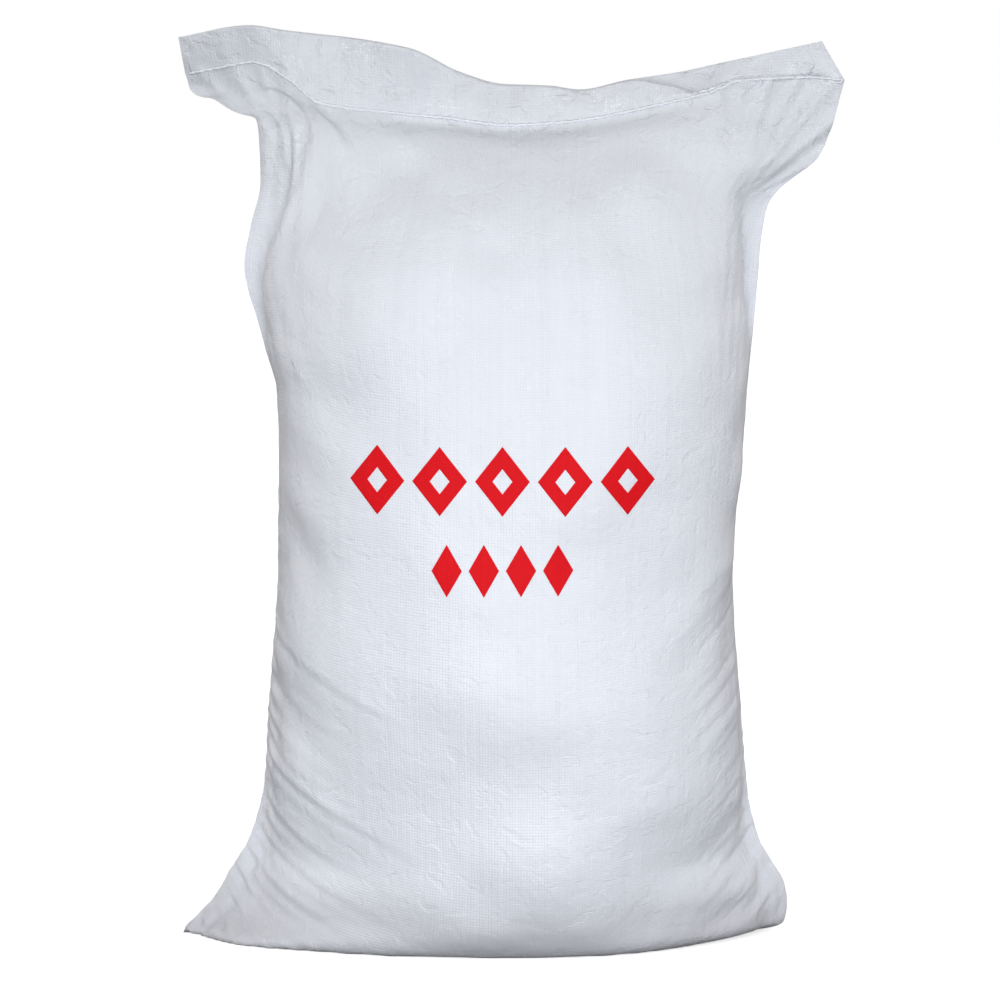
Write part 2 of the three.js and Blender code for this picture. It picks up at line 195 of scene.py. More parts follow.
# The stitches and the printed marks, in the places of the solid ones. Widths are shares of the thread's.
THREAD_REACH = 0.97
STITCH_REACH = 0.49  # the share of the pitch that a straight stitch and a loop cover to each side
LOOP_REACH = 0.62
LOOP_WIDTH = 0.95
LOOP_LIFT = 0.3
THREAD_TWIST = 1.6
PLY_INNER = 0.4
PLY_OUTER = 0.54
STITCH_ROLL = 0.12
PRINT_MIDDLE = -7
UPPER_PRINT = {"count": 5, "height": 404, "width": 45, "tall": 57, "pitch": 51.5, "hole": 0.36}
LOWER_PRINT = {"count": 4, "height": 331, "width": 25, "tall": 43, "pitch": 30.5, "hole": 0}
PRINT_RIM = 0.3  # where the rim's lines end in a lozenge that isn't open, as a share of it
PRINT_RIM_LINES = 12
PRINT_MIDDLE_LINES = 9
PRINT_PROUD = 0.2

# The studio, in metres. Each light is given as (place, target, size).
FRONT_LIGHT = ((0.1, -2.1, 0.25), (0, 0, 0.25), 1.3)
LOW_LIGHT = ((0.05, -1.2, 0.14), (0.03, -0.15, 0.12), 0.7)
CAMERA_TARGET = (-0.009, 0, 0.3705)
FLOOR_REACH = 12
FLOOR_SHARE = 0.15  # how much of the floor's colour anything but the camera sees


def curve(points):
    """A smooth curve through (place, value) points that doesn't overshoot them, level past its ends."""
    places, values = np.array(points, float).T
    steps = np.diff(places)
    rises = np.diff(values) / steps
    before = 2 * steps[1:] + steps[:-1]
    after = steps[1:] + 2 * steps[:-1]
    with np.errstate(divide="ignore"):
        inner = (before + after) / (before / rises[:-1] + after / rises[1:])
    turns = rises[:-1] * rises[1:] <= 0
    slopes = np.concatenate([rises[:1], np.where(turns, 0, inner), rises[-1:]])

    def value(place):
        place = np.clip(place, places[0], places[-1])
        i = np.clip(np.searchsorted(places, place, side="right") - 1, 0, len(steps) - 1)
        t = (place - places[i]) / steps[i]
        return (
            values[i] * (1 + 2 * t) * (1 - t) ** 2
            + values[i + 1] * t * t * (3 - 2 * t)
            + steps[i] * slopes[i] * t * (1 - t) ** 2
            + steps[i] * slopes[i + 1] * t * t * (t - 1)
        )

    return value


def sided(left, right):
    """One curve for each side of the sack, as a function of the height and of x."""
    left, right = curve(left), curve(right)
    return lambda h, x: np.where(x < 0, left(h), right(h))


edge_at, lift_at = sided(LEFT_EDGE, RIGHT_EDGE), sided(LEFT_LIFT, RIGHT_LIFT)
fin_at, power_at = sided(LEFT_FIN, RIGHT_FIN), sided(LEFT_POWER, RIGHT_POWER)
root_share, root_taper = curve(ROOT_SHARE), curve(ROOT_TAPER)
middle_shift, half_depth = curve(MIDDLE_SHIFT), curve(HALF_DEPTH)
seam_line, back_lip, front_strip = curve(SEAM_LINE), curve(BACK_LIP), curve(FRONT_STRIP)
flap_lean, lip_gap, front_share = curve(FLAP_LEAN), curve(LIP_GAP), curve(FRONT_SHARE)
turn_out, slack_share = curve(TURN_OUT), curve(SLACK_SHARE)


def smooth(t):
    t = np.clip(t, 0, 1)
    return t * t * (3 - 2 * t)


def ramp(value, start, end):
    """Goes smoothly from 0 at the start to 1 at the end, which may be the lower one."""
    return smooth((value - start) / (end - start))


def mix(a, b, t):
    return a + (b - a) * t


def half_thickness(h, x):
    """Half the thickness of the plain section at height h and x."""
    edge, fin = edge_at(h, x), fin_at(h, x)
    fold = smooth(fin / FIN_LEAST)
    in_body = np.minimum(1, np.abs(x) / (edge - fin * fold))
    in_edge = np.minimum(1, np.abs(x) / edge)
    in_fin = np.clip((np.abs(x) - edge + fin) / fin, 0, 1)
    body = half_depth(h) * (1 - in_body**SECTION_FLATNESS) ** power_at(h, x)
    root = root_share(h) * fin * fold * (1 - in_fin) ** root_taper(h) * (1 - ramp(h, *ROOT_END))
    skin = SKIN_HALF * fold * np.sqrt(1 - in_edge**EDGE_ROUNDING)
    return (body**BLEND_POWER + root**BLEND_POWER + skin**BLEND_POWER) ** (1 / BLEND_POWER)


def middle(h, x):
    """The y of the section's middle in the row at height h, at x."""
    in_corner = smooth((np.abs(x) - CORNER_START) / CORNER_LENGTH)
    return middle_shift(h) - CORNER_FORWARD * in_corner * (1 - smooth(h / CORNER_HEIGHT))


def row_lift(h, x):
    """How much higher the row at height h runs at x than in its middle."""
    seam_end = np.where(x < 0, -1, 1) * edge_at(SEAM_HEIGHT, x)
    outwards = np.abs(x) / edge_at(h, x)
    sewn = (seam_line(seam_end * outwards) - SEAM_HEIGHT) / (seam_line(seam_end) - SEAM_HEIGHT)
    return lift_at(h, x) * mix(outwards**LIFT_BEND, sewn, ramp(h, SHOULDER_HEIGHT, SEAM_HEIGHT))


def face_point(h, x, face):
    """Points of the plain sack: face is -1 on the front and 1 on the back."""
    y = face * half_thickness(h, x) + middle(h, x)
    return np.stack([x, y, h + row_lift(h, x)], -1)


def arc_lengths(points):
    """The distance along each line of points from its first one. Lines run along the axis before last."""
    steps = np.linalg.norm(np.diff(points, axis=-2), axis=-1)
    return np.concatenate([np.zeros(steps.shape[:-1] + (1,)), np.cumsum(steps, -1)], -1)


def even_columns(h, side):
    """The x of each column from the middle out to one side edge at height h, evenly along the cloth."""
    edge, fin = float(edge_at(h, side)), float(fin_at(h, side))
    body = (edge - fin) * np.sin(np.linspace(0, np.pi / 2, FINE_SAMPLES))
    tip = edge - fin * np.linspace(1, 0, FINE_SAMPLES)[1:] ** EDGE_CROWDING
    x = side * np.concatenate([body, tip])
    along = arc_lengths(face_point(np.full_like(x, h), x, -1))
    return np.interp(np.linspace(0, along[-1], SIDE_COLUMNS + 1), along, x)


def column_paths():
    """The heights of the sampled rows up to the sewn line, and the x of each column in each of them."""
    heights = SEAM_HEIGHT * np.linspace(0, 1, FINE_SAMPLES) ** ROW_CROWDING
    left = np.array([even_columns(h, -1) for h in heights])
    right = np.array([even_columns(h, 1) for h in heights])
    return heights, np.concatenate([left[:, ::-1], right[:, 1:]], 1)


def face_grid(face, heights, across):
    """The plain face as a grid of rows and columns, with the spare cloth gathered along both sides."""
    body = face_point(np.broadcast_to(heights[:, None], across.shape), across, face)
    lowest = body[0]
    seam = np.stack([lowest[:, 0], middle(0, lowest[:, 0]), lowest[:, 2]], -1)
    shares = np.linspace(0, 1, FINE_SAMPLES // 4)[:-1, None, None]
    paths = np.concatenate([mix(seam, lowest, shares), body]).transpose(1, 0, 2)
    along = arc_lengths(paths)
    length = along[:, -1:]
    flat = along + (length.max() - length) * slack_share(along / length)
    rows = np.linspace(0, length.max(), LONG_ROWS + 1)
    grid = [
        [np.interp(rows, flat[i], paths[i, :, axis]) for axis in range(3)]
        for i in range(len(paths))
    ]
    return np.array(grid).transpose(2, 0, 1), float(length.max())


def around_both(front, back):
    """One closed row of columns: across the front from left to right and back across the rear."""
    return np.concatenate([front, back[:, -2:0:-1]], 1)


def grid_normals(grid):
    """The outward normal at each point of a grid whose columns close on themselves."""
    along = np.roll(grid, -1, 1) - np.roll(grid, 1, 1)
    up = np.gradient(grid, axis=0)
    normals = np.cross(along, up)
    return normals / np.maximum(np.linalg.norm(normals, axis=-1, keepdims=True), 1e-9)


def bump(distance, reach):
    return np.exp(-((distance / reach) ** 2))


def lump_relief(grid):
    """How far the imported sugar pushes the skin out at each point."""
    x, y, z = np.moveaxis(grid, -1, 0)
    total = np.zeros_like(x)
    for lumps, there in ((FRONT_LUMPS + SMALL_LUMPS, y < 0), (BACK_LUMPS, y >= 0)):
        for lump_x, lump_z, reach, rise in lumps:
            total += there * rise * bump(np.hypot(x - lump_x, z - lump_z), reach)
    total += soft_noise(x.shape, DENTS, SEED + DENT_SEED)
    return total * smooth(np.abs(y) / RELIEF_SIDE) * smooth(z / RELIEF_FOOT)


def soft_noise(shape, layers, seed):
    """Smooth random values over a grid whose columns close on themselves, in layers."""
    total = np.zeros(shape)
    for i, (rows, columns, depth) in enumerate(layers):
        coarse = np.random.default_rng(seed + i).uniform(-1, 1, (rows + 3, columns))
        r = np.linspace(0, rows, shape[0])
        c = np.arange(shape[1]) * columns / shape[1]
        r0, c0 = np.floor(r).astype(int), np.floor(c).astype(int)
        tr, tc = smooth(r - r0)[:, None], smooth(c - c0)[None, :]
        low, high = (
            mix(coarse[row[:, None], c0 % columns], coarse[row[:, None], (c0 + 1) % columns], tc)
            for row in (r0, r0 + 1)
        )
        total += depth * mix(low, high, tr)
    return total


# Folds of the skin. The lower ones start at a side edge, as (start height, length, depth).
LEFT_FAN = [
    (262, 130, 1.1), (240, 80, 0.3), (222, 90, 0.35), (203, 80, 0.3), (186, 100, 0.45), (171, 80, 0.35),
    (157, 150, 1.4), (141, 90, 0.55), (130, 70, 0.35), (119, 120, 1.2), (104, 80, 0.45), (92, 130, 1.5),
    (79, 70, 0.5), (64, 120, 1.5), (50, 80, 1.1), (36, 90, 1.9), (22, 70, 1.4), (9, 60, 1.9), (-4, 50, 1.4),
    (-17, 40, 1.7), (-30, 34, 1.4), (-43, 28, 1.5),
]
RIGHT_FAN = [
    (start + 3 * (i * 2 % 3), 32 + 10 * (i * 5 % 4), 0.4 + 0.26 * (i * 3 % 4))
    for i, start in enumerate(range(-20, 320, 12))
]
FAN_BEND = 30  # a fold turns from steep to shallow over this distance from the side edge
FAN_WIDTH = {-1: 3.4, 1: 3.2}
FAN_END = 0.85  # where on its length a fold is gone
FAN_FADE = {-1: 0.5, 1: 0.22}  # the share of a fold's length over which it dies away
FAN_STEEP = {-1: 0.5, 1: 0.15}  # how much steeper a fold is at the side edge than far from it
FAN_SLOPE = {-1: 0.44, 1: 0.72}
FAN_EDGE = 8  # a fold fades within this distance of the side edge, to this share
FAN_AT_EDGE = 0.15
FAN_OUTERMOST = {-1: 222, 1: 208}  # further out than this a fold runs straight on to the corner
FAN_CORNER = 1.6  # and grows steeper by this much
FAN_TURN = 15
FAN_SPREAD = 1.5  # and wider
FAN_DEEPEN = 2.4  # and deeper
FAN_TOP = (330, 390)  # between these heights the fine folds end
RIDGE_PLACE = 1.9  # the ridge above each fold, in widths and depths of the fold
RIDGE_WIDTH = 1.4
RIDGE_RISE = 0.75
FOLD_GIVE = {-1: 0.5, 1: 0.15}  # the share of the spare cloth along the sack that folds on each side
BACK_FAN_SHIFT = 9  # the folds on the back start this much higher
EAR_ROOTS = {-1: (-186, 652), 1: (184, 618)}
EAR_FOLDS = {-1: 26, 1: 33}  # folds in each turn round an ear's root
EAR_SWAY = 3.0
EAR_FOLD_RISE = 1.6
EAR_FOLD_SHARPNESS = 0.7
EAR_SLOW_RISE = 0.6
EAR_SLOW_TURN = 0.41
EAR_REACH = 90
EAR_SPAN = (150, 210)
EAR_CALM = (716, 752)  # between these heights the folds grow this much weaker
EAR_CALMED = 0.25
EAR_CREASE = ((-213, 772), (-177, 720))
EAR_BEND = 0.4
EAR_BEND_START = 9
EAR_BEND_SPAN = (684, 720)
PLEAT_LINES = {-1: (197, 211), 1: (186, 194, 201, 207)}
PLEAT_EDGE = {-1: 220, 1: 213}  # the side edge's distance across where the pleats have these places
PLEAT_SHIFT = 0.9
PLEAT_SPAN = (400, 640)
PLEAT_DEPTH = 1.3
PLEAT_WIDTH = 2.6
FINE_FOLDS = 0.75  # the share of the side folds that is pressed in again once the cloth has settled
FINE_PLEATS = 0.8
# Where the sack hardly gives: the cloth may move this far in and out of its plain form.
INWARD_MOST = 1.6
INWARD_SHARE = 0.4  # and no further in than this share of its distance from the middle
OUTWARD_MOST = 3.4
EDGE_ROOM = 0.14  # the share of that movement left at the side edges, and the columns over which it grows
EDGE_COLUMNS = 7
FOOT_SHARE = 0.1  # and the share left on the floor
EVENING = 0.07  # how much each point follows its neighbours, and how much it keeps of its way along the cloth
SLIDING = 0.985
SLANT_FIRMNESS = 0.06
# The sack's own weight presses the cloth flat below this height, at the left corner and elsewhere.
FOOT_ROOM = (12, 34)
FOOT_CORNER = (110, 170)
CHEST = (430, 490)  # above these heights the middle of each face stays nearly smooth
CHEST_HALF = (190, 150)
CHEST_GIVE = 0.3
CALM_SPARE = 0.93
CALM = (240, 360)  # above these heights the cloth on the right lies smoother too
CALM_LEAST = 0.85
# Below the seam's left end the neck runs softly into the mouth, between these distances across.
SOFT_NECK = (90, 205)
SOFT_HEIGHT = (630, 670)
SOFT_SHARE = 0.7
SOFT_ROUNDS = 10


def fan_relief(x, y, z):
    """Curved folds that run down and inwards from each side edge near the floor."""
    total = np.zeros_like(x)
    for side, folds in ((-1, LEFT_FAN), (1, RIGHT_FAN)):
        edge = edge_at(z, side)
        line = np.minimum(edge, FAN_OUTERMOST[side]) - side * x
        bent = FAN_BEND * (1 - np.exp(-np.maximum(0, line) / FAN_BEND)) + FAN_CORNER * np.minimum(0, line)
        track = z + FAN_SLOPE[side] * line + FAN_STEEP[side] * bent - BACK_FAN_SHIFT * (y >= SEAM_BACK)
        cornered = smooth(0.5 - line / FAN_TURN)
        width = FAN_WIDTH[side] * mix(1, FAN_SPREAD, cornered)
        here = (side * x > 0) * smooth((edge - side * x) / FAN_EDGE + FAN_AT_EDGE)
        here = here * mix(1, FAN_DEEPEN, cornered)
        for start, length, depth in folds:
            fade = bump(np.maximum(0, line - (FAN_END - FAN_FADE[side]) * length), FAN_FADE[side] * length)
            ridge = bump(track - start - RIDGE_PLACE * width, RIDGE_WIDTH * width)
            total += here * fade * depth * (RIDGE_RISE * ridge - bump(track - start, width))
    return total


def above_foot(grid):
    """A mask that is 0 on the floor and 1 where the sack's weight no longer presses the cloth flat."""
    corner = ramp(-grid[..., 0], *FOOT_CORNER)
    return smooth(grid[..., 2] / mix(FOOT_ROOM[1], FOOT_ROOM[0], corner))


def ear_sway(x, z, thin):
    """How far both layers of the flattened mouth corners and side folds bend backwards together."""
    total = np.zeros_like(x)
    for side, (root_x, root_z) in EAR_ROOTS.items():
        reach = np.hypot(x - root_x, z - root_z)
        turn = EAR_FOLDS[side] * np.arctan2(z - root_z, side * (x - root_x))
        waves = EAR_FOLD_RISE * (np.abs(np.sin(turn / 2 + side)) ** EAR_FOLD_SHARPNESS - 0.5)
        waves += EAR_SLOW_RISE * np.sin(EAR_SLOW_TURN * turn)
        there = ramp(side * x, *EAR_SPAN) * ramp(z - root_z, -20, 20) * mix(1, EAR_CALMED, ramp(z, *EAR_CALM))
        total += EAR_SWAY * waves * smooth(reach / EAR_REACH) * there
    (top_x, top_z), (low_x, low_z) = EAR_CREASE
    crease = low_x + (z - low_z) * (top_x - low_x) / (top_z - low_z)
    past = np.maximum(0, crease - x)
    total += EAR_BEND * past**2 / (past + EAR_BEND_START) * ramp(z, *EAR_BEND_SPAN)
    return total * thin


def pleat_relief(x, z):
    """Long upright pleats beside the neck."""
    total = np.zeros_like(x)
    low, high = PLEAT_SPAN
    along = ramp(z, low, low + 120) * ramp(z, high + 30, high - 30)
    for side, lines in PLEAT_LINES.items():
        spread = edge_at(z, side) - PLEAT_EDGE[side]
        for line in lines:
            total -= PLEAT_DEPTH * bump(side * x - line - PLEAT_SHIFT * spread, PLEAT_WIDTH) * along
    return total


def woven_threads(grid, row_step):
    """Every pair of neighbours, as (first, second, rest length, firmness), in groups that don't touch."""
    rows, columns = grid.shape[:2]
    column_step = FLAT_WIDTH / (2 * SIDE_COLUMNS)
    every_row, every_column = np.arange(rows), np.arange(columns)
    threads = []
    for start in (0, 1):
        first = np.ix_(np.arange(start, rows - 1, 2), every_column)
        second = np.ix_(np.arange(start, rows - 1, 2) + 1, every_column)
        length = np.linalg.norm(grid[second] - grid[first], axis=-1)
        x, y, z = np.moveaxis(grid[first], -1, 0)
        give = np.where(x < 0, FOLD_GIVE[-1], FOLD_GIVE[1]) * mix(1, CHEST_GIVE, ramp(z, *CHEST))
        threads.append((first, second, length + give * np.maximum(0, row_step - length), 1.0))
        first = np.ix_(every_row, np.arange(start, columns, 2))
        second = np.ix_(every_row, (np.arange(start, columns, 2) + 1) % columns)
        length = np.linalg.norm(grid[second] - grid[first], axis=-1)
        spare = np.maximum(0, column_step - length)
        x, y, z = np.moveaxis(grid[first], -1, 0)
        chest = ramp(z, *CHEST) * ramp(np.abs(x), *CHEST_HALF)
        calm = np.maximum(chest, mix(CALM_LEAST, 1, ramp(z, *CALM)) * smooth(x / 60))
        threads.append((first, second, length + spare * (1 - CALM_SPARE * calm), 1.0))
    for slant in (1, -1):
        for start in (0, 1):
            first = np.ix_(np.arange(start, rows - 1, 2), every_column)
            second = np.ix_(np.arange(start, rows - 1, 2) + 1, (every_column + slant) % columns)
            length = np.linalg.norm(grid[second] - grid[first], axis=-1)
            threads.append((first, second, length, SLANT_FIRMNESS))
    return threads


def draw_in(grid, thread):
    """Moves both ends of each thread in a group towards its rest length."""
    first, second, rest, firmness = thread
    a, b = grid[first], grid[second]
    gap = b - a
    length = np.maximum(np.linalg.norm(gap, axis=-1), 1e-6)
    shift = gap * (0.5 * firmness * (length - rest) / length)[..., None]
    grid[first] = a + shift
    grid[second] = b - shift


def settle_cloth(plain, normals, seeded, row_step, rounds):
    """The skin's cloth as it settles on the sugar: threads keep their length, so what is spare folds."""
    threads = woven_threads(plain, row_step)
    grid = seeded.copy()
    half = plain.shape[1] // 2
    from_side = np.arange(plain.shape[1]) % half
    from_side = np.minimum(from_side, half - from_side)
    room = mix(EDGE_ROOM, 1, smooth(from_side / EDGE_COLUMNS)) * mix(FOOT_SHARE, 1, above_foot(plain))
    inwards = -room * np.minimum(INWARD_MOST, INWARD_SHARE * np.abs(plain[..., 1] - SEAM_BACK))
    for _ in range(rounds):
        for thread in threads:
            draw_in(grid, thread)
        moved = grid - plain
        near = (np.roll(moved, 1, 1) + np.roll(moved, -1, 1)) / 4
        near[1:-1] += (moved[2:] + moved[:-2]) / 4
        moved[1:-1] = mix(moved[1:-1], near[1:-1], EVENING)
        out = (moved * normals).sum(-1)
        along = moved - out[..., None] * normals
        held = np.clip(out, inwards, OUTWARD_MOST * room)
        moved = held[..., None] * normals + SLIDING * along
        moved[[0, -1]] = 0
        grid = plain + moved
        grid[..., 2] = np.maximum(grid[..., 2], 0)
    return grid


def finer(grid, axis, closed):
    """The grid with a new line of points halfway between each two, on a smooth curve through them."""
    lines = np.moveaxis(grid, axis, 0)
    if closed:
        padded = np.concatenate([lines[-1:], lines, lines[:2]])
    else:
        padded = np.concatenate([2 * lines[:1] - lines[1:2], lines, 2 * lines[-1:] - lines[-2:-1]])
    halfway = (9 * (padded[1:-2] + padded[2:-1]) - padded[:-3] - padded[3:]) / 16
    count = 2 * len(lines) - (0 if closed else 1)
    result = np.empty((count,) + lines.shape[1:])
    result[0::2] = lines
    result[1::2] = halfway[: count // 2]
    return np.moveaxis(result, 0, axis)


def mouth_rows(ring):
    """The flap above the sewn line: rows that go up, over the lips and down inside, and their lengths."""
    half = len(ring) // 2
    x, y, z = ring[: half + 1].T
    skin = np.abs(y - SEAM_BACK)
    ends = RIGHT_LIP_END * ramp(x, 200, 281) - LEFT_LIP_END * ramp(-x, 180, 276)
    share = np.linspace(0, 1, FLAP_ROWS + 1)[:, None]
    lean = flap_lean(x) * share**LEAN_BEND
    for reach, slant, depth in FLAP_WAVES:
        lean += depth * np.sin(x / reach + slant * share) * share
    gap = lip_gap(x) * np.sin(share * np.pi / 2) ** GAP_BEND
    opened = smooth(share * 3)
    start = np.zeros((1, len(x)))
    walls = []
    for face in (-1, 1):
        length = back_lip(x + ends) - z
        if face < 0:
            length = np.where(x < FRONT_STRIP[0][0], length - LIP_STEP * ramp(x, -276, -216), front_strip(x))
        angle = np.radians(turn_out(x)) * (face < 0) * smooth((share * length - TURN_START) / TURN_REACH)
        middle = (angle[1:] + angle[:-1]) / 2
        step = length / FLAP_ROWS
        up = np.concatenate([start, np.cumsum(np.cos(middle) * step, 0)])
        out = np.concatenate([start, np.cumsum(np.sin(middle) * step, 0)])
        part = front_share(x) if face < 0 else 1 - front_share(x)
        y = SEAM_BACK + lean + face * (skin + part * gap + out)
        outside = np.stack([x + ends * share, y, z + up], -1)
        thickness = mix(skin, LIP_THICKNESS * skin / SKIN_HALF, opened)
        inwards = np.stack([0 * angle, -face * np.cos(angle), -np.sin(angle)], -1)
        inside = outside + thickness[..., None] * inwards
        inside[..., 0] -= np.sign(x) * LIP_THICKNESS * opened * (1 - skin / SKIN_HALF)
        lip = (outside[-1:] + inside[-1:]) / 2
        lip += LIP_ROUNDING * (outside[-1:] - outside[-2:-1]) / np.maximum(step, 1)[:, None]
        walls.append((np.concatenate([outside[1:], lip, inside[::-2]]), length))
    (front, front_length), (back, back_length) = walls
    for end in (0, -1):
        front[:, end] = back[:, end] = (front[:, end] + back[:, end]) / 2
    travel = np.concatenate([share[1:], share[-1:] * 1.01, share[::-2]])
    lengths = around_both((travel * front_length)[..., None], (travel * back_length)[..., None])
    return around_both(front, back), lengths[..., 0]


def soften_neck(plain):
    """The plain form with the ledge below the seam's left end eased away."""
    x, y, z = np.moveaxis(plain, -1, 0)
    low, high = SOFT_NECK
    soft = SOFT_SHARE * ramp(z, *SOFT_HEIGHT) * ramp(-x, low, low + 40) * ramp(x, -high, 30 - high)
    for _ in range(SOFT_ROUNDS):
        plain[1:-1] = mix(plain[1:-1], (plain[2:] + plain[:-2]) / 2, soft[1:-1, :, None])
    return plain


def skin_grid(fold_depth, rounds):
    """The whole sack as rows of points round it, from the bottom seam to the pocket in the mouth.

    Gives the points in millimetres, each point's distance along the cloth, the sewn line's row, and how
    much sugar lies behind each point.
    """
    heights, across = column_paths()
    front, length = face_grid(-1, heights, across)
    back, back_length = face_grid(1, heights, across)
    row_step = max(length, back_length) / LONG_ROWS
    plain = soften_neck(around_both(front, back))
    plain = plain + lump_relief(plain)[..., None] * grid_normals(plain)
    normals = grid_normals(plain)
    x, y, z = np.moveaxis(plain, -1, 0)
    thick = ramp(np.abs(y - SEAM_BACK), 6, 20)
    seeds = fan_relief(x, y, z) + pleat_relief(x, z) * mix(0.4, 1, thick)
    seeds += soft_noise(x.shape, FOLD_STARTS, SEED)
    folds = plain + (fold_depth * seeds * above_foot(plain))[..., None] * normals
    folds = settle_cloth(plain, normals, folds, row_step, rounds)
    skin = finer(finer(folds, 0, False), 1, True)
    x, y, z = np.moveaxis(skin, -1, 0)
    fine = fan_relief(x, y, z) * above_foot(skin) * (1 - ramp(z, *FAN_TOP)) + FINE_PLEATS * pleat_relief(x, z)
    skin = skin + (FINE_FOLDS * fold_depth * fine)[..., None] * grid_normals(skin)
    flap, flap_lengths = mouth_rows(skin[-1])
    seam_row = len(skin) - 1
    along = np.arange(len(skin))[:, None] * row_step / 2 * np.ones(skin.shape[1])
    along = np.concatenate([along, along[-1] + flap_lengths])
    grid = np.concatenate([skin, flap])
    x, y, z = np.moveaxis(grid, -1, 0)
    thick = ramp(np.abs(y - SEAM_BACK), *FILLED_FROM)
    thick[seam_row:] = 0
    bent = ear_sway(x, z, (1 - thick) * ramp(z, 400, 500))
    crinkle = soft_noise(x.shape, CRINKLES, SEED + CRINKLE_SEED) * smooth(z / 10)
    crinkle[seam_row - 1 :] = 0
    grid = grid + crinkle[..., None] * grid_normals(grid)
    grid[..., 1] += bent
    return grid, along, seam_row, np.maximum(thick, ramp(z, *EAR_FOOT))


def ring_indices(rows, columns):
    """The vertex number of each point in a grid whose first and last rows are shut flat."""
    numbers = np.arange(rows * columns).reshape(rows, columns)
    back = np.arange(columns // 2 + 1, columns)
    for row in (0, -1):
        numbers[row, back] = numbers[row, columns - back]
    used, packed = np.unique(numbers, return_inverse=True)
    return used, packed.reshape(rows, columns)


def new_piece(name, mesh, material, nodes):
    """Puts a finished mesh into the scene as a piece that stands for CAD nodes."""
    for polygon in mesh.polygons:
        polygon.use_smooth = True
    piece = bpy.data.objects.new(name, mesh)
    bpy.context.scene.collection.objects.link(piece)
    if material.name not in mesh.materials:
        mesh.materials.append(material)
    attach(piece, "root")
    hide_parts(*nodes)
    return piece


def add_map(mesh, corners):
    """Gives a mesh its weave map, from one pair of values for each face corner."""
    layer = mesh.uv_layers.new(name=WEAVE_MAP)
    layer.data.foreach_set("uv", np.asarray(corners, float).ravel())


def mark_sharp(mesh, *groups):
    """Makes the edges between neighbouring vertices in lines of vertex numbers sharp creases."""
    pairs = np.concatenate([np.stack([lines[:, :-1], lines[:, 1:]], -1).reshape(-1, 2) for lines in groups])
    wanted = set(map(tuple, np.sort(pairs, 1).tolist()))
    ends = np.empty(2 * len(mesh.edges), int)
    mesh.edges.foreach_get("vertices", ends)
    sharp = [pair in wanted for pair in map(tuple, np.sort(ends.reshape(-1, 2), 1).tolist())]
    mesh.attributes.new("sharp_edge", "BOOLEAN", "EDGE").data.foreach_set("value", sharp)


def skin_mesh(fold_depth, rounds):
    """The sack's mesh, closed at its bottom seam and in the pocket of its mouth."""
    grid, along, seam_row, behind = skin_grid(fold_depth, rounds)
    rows, columns = along.shape
    used, numbers = ring_indices(rows, columns)
    right = np.roll(numbers, -1, 1)
    faces = np.stack([numbers[:-1], right[:-1], right[1:], numbers[1:]], -1)
    mesh = bpy.data.meshes.new("sack_skin")
    mesh.from_pydata((grid.reshape(-1, 3)[used] * MILLIMETRE).tolist(), [], faces.reshape(-1, 4).tolist())
    round_by = np.arange(columns + 1) * 2 * FLAT_WIDTH / columns
    u = np.stack([round_by[:-1], round_by[1:], round_by[1:], round_by[:-1]], -1)[None] + 0 * faces
    ahead = np.roll(along, -1, 1)
    v = np.stack([along[:-1], ahead[:-1], ahead[1:], along[1:]], -1)
    add_map(mesh, np.stack([u, v], -1) / WEAVE_UNIT)
    filled = mesh.attributes.new(FILLED, "FLOAT", "POINT")
    filled.data.foreach_set("value", behind.reshape(-1)[used])
    mark_sharp(mesh, numbers[:, [0, columns // 2]].T, numbers[[seam_row + FLAP_ROWS + 1]])
    mesh["seam_row"] = seam_row
    mesh["columns"] = columns
    mesh["rows"] = rows
    return mesh


def built_skin():
    """The finished skin's mesh."""
    piece = bpy.data.objects.get("sack_skin")
    if piece is None:
        raise RuntimeError("The sack's skin has to be built first.")
    return piece.data


def add_node(tree, kind, inputs=None, **settings):
    """A node with its settings, and with values or links on its inputs, which are named or numbered."""
    node = tree.nodes.new(kind)
    for name, value in settings.items():
        setattr(node, name, value)
    for key, value in (inputs or {}).items():
        if isinstance(value, bpy.types.NodeSocket):
            tree.links.new(value, node.inputs[key])
        else:
            node.inputs[key].default_value = value
    return node


def calculate(tree, operation, *values):
    """One step of arithmetic in a shader tree."""
    return add_node(tree, "ShaderNodeMath", dict(enumerate(values)), operation=operation).outputs[0]


def vector_step(tree, operation, *values):
    """One step of arithmetic with vectors in a shader tree."""
    return add_node(tree, "ShaderNodeVectorMath", dict(enumerate(values)), operation=operation).outputs[0]


def combine(tree, parts):
    """A vector from some of its parts, which are numbered."""
    return add_node(tree, "ShaderNodeCombineXYZ", parts).outputs[0]


def remap(tree, value, start, end, low=0.0, high=1.0, **settings):
    """A number that goes from low to high as the value goes from start to end."""
    inputs = {"Value": value, 1: start, 2: end, 3: low, 4: high}
    return add_node(tree, "ShaderNodeMapRange", inputs, **settings).outputs[0]


def blend(tree, factor, first, second):
    """A number between two."""
    return add_node(tree, "ShaderNodeMix", {0: factor, 2: first, 3: second}, data_type="FLOAT").outputs[0]


def blend_colours(tree, factor, first, second):
    """A colour between two."""
    return add_node(tree, "ShaderNodeMix", {0: factor, 6: first, 7: second}, data_type="RGBA").outputs[2]


def noise(tree, place, scale, detail, **settings):
    """Soft noise at a place, as a node."""
    inputs = {"Vector": place, "Scale": scale, "Detail": detail}
    return add_node(tree, "ShaderNodeTexNoise", inputs, **settings)


def object_place(tree):
    """The place of a point in the object's own coordinates."""
    return add_node(tree, "ShaderNodeTexCoord").outputs["Object"]


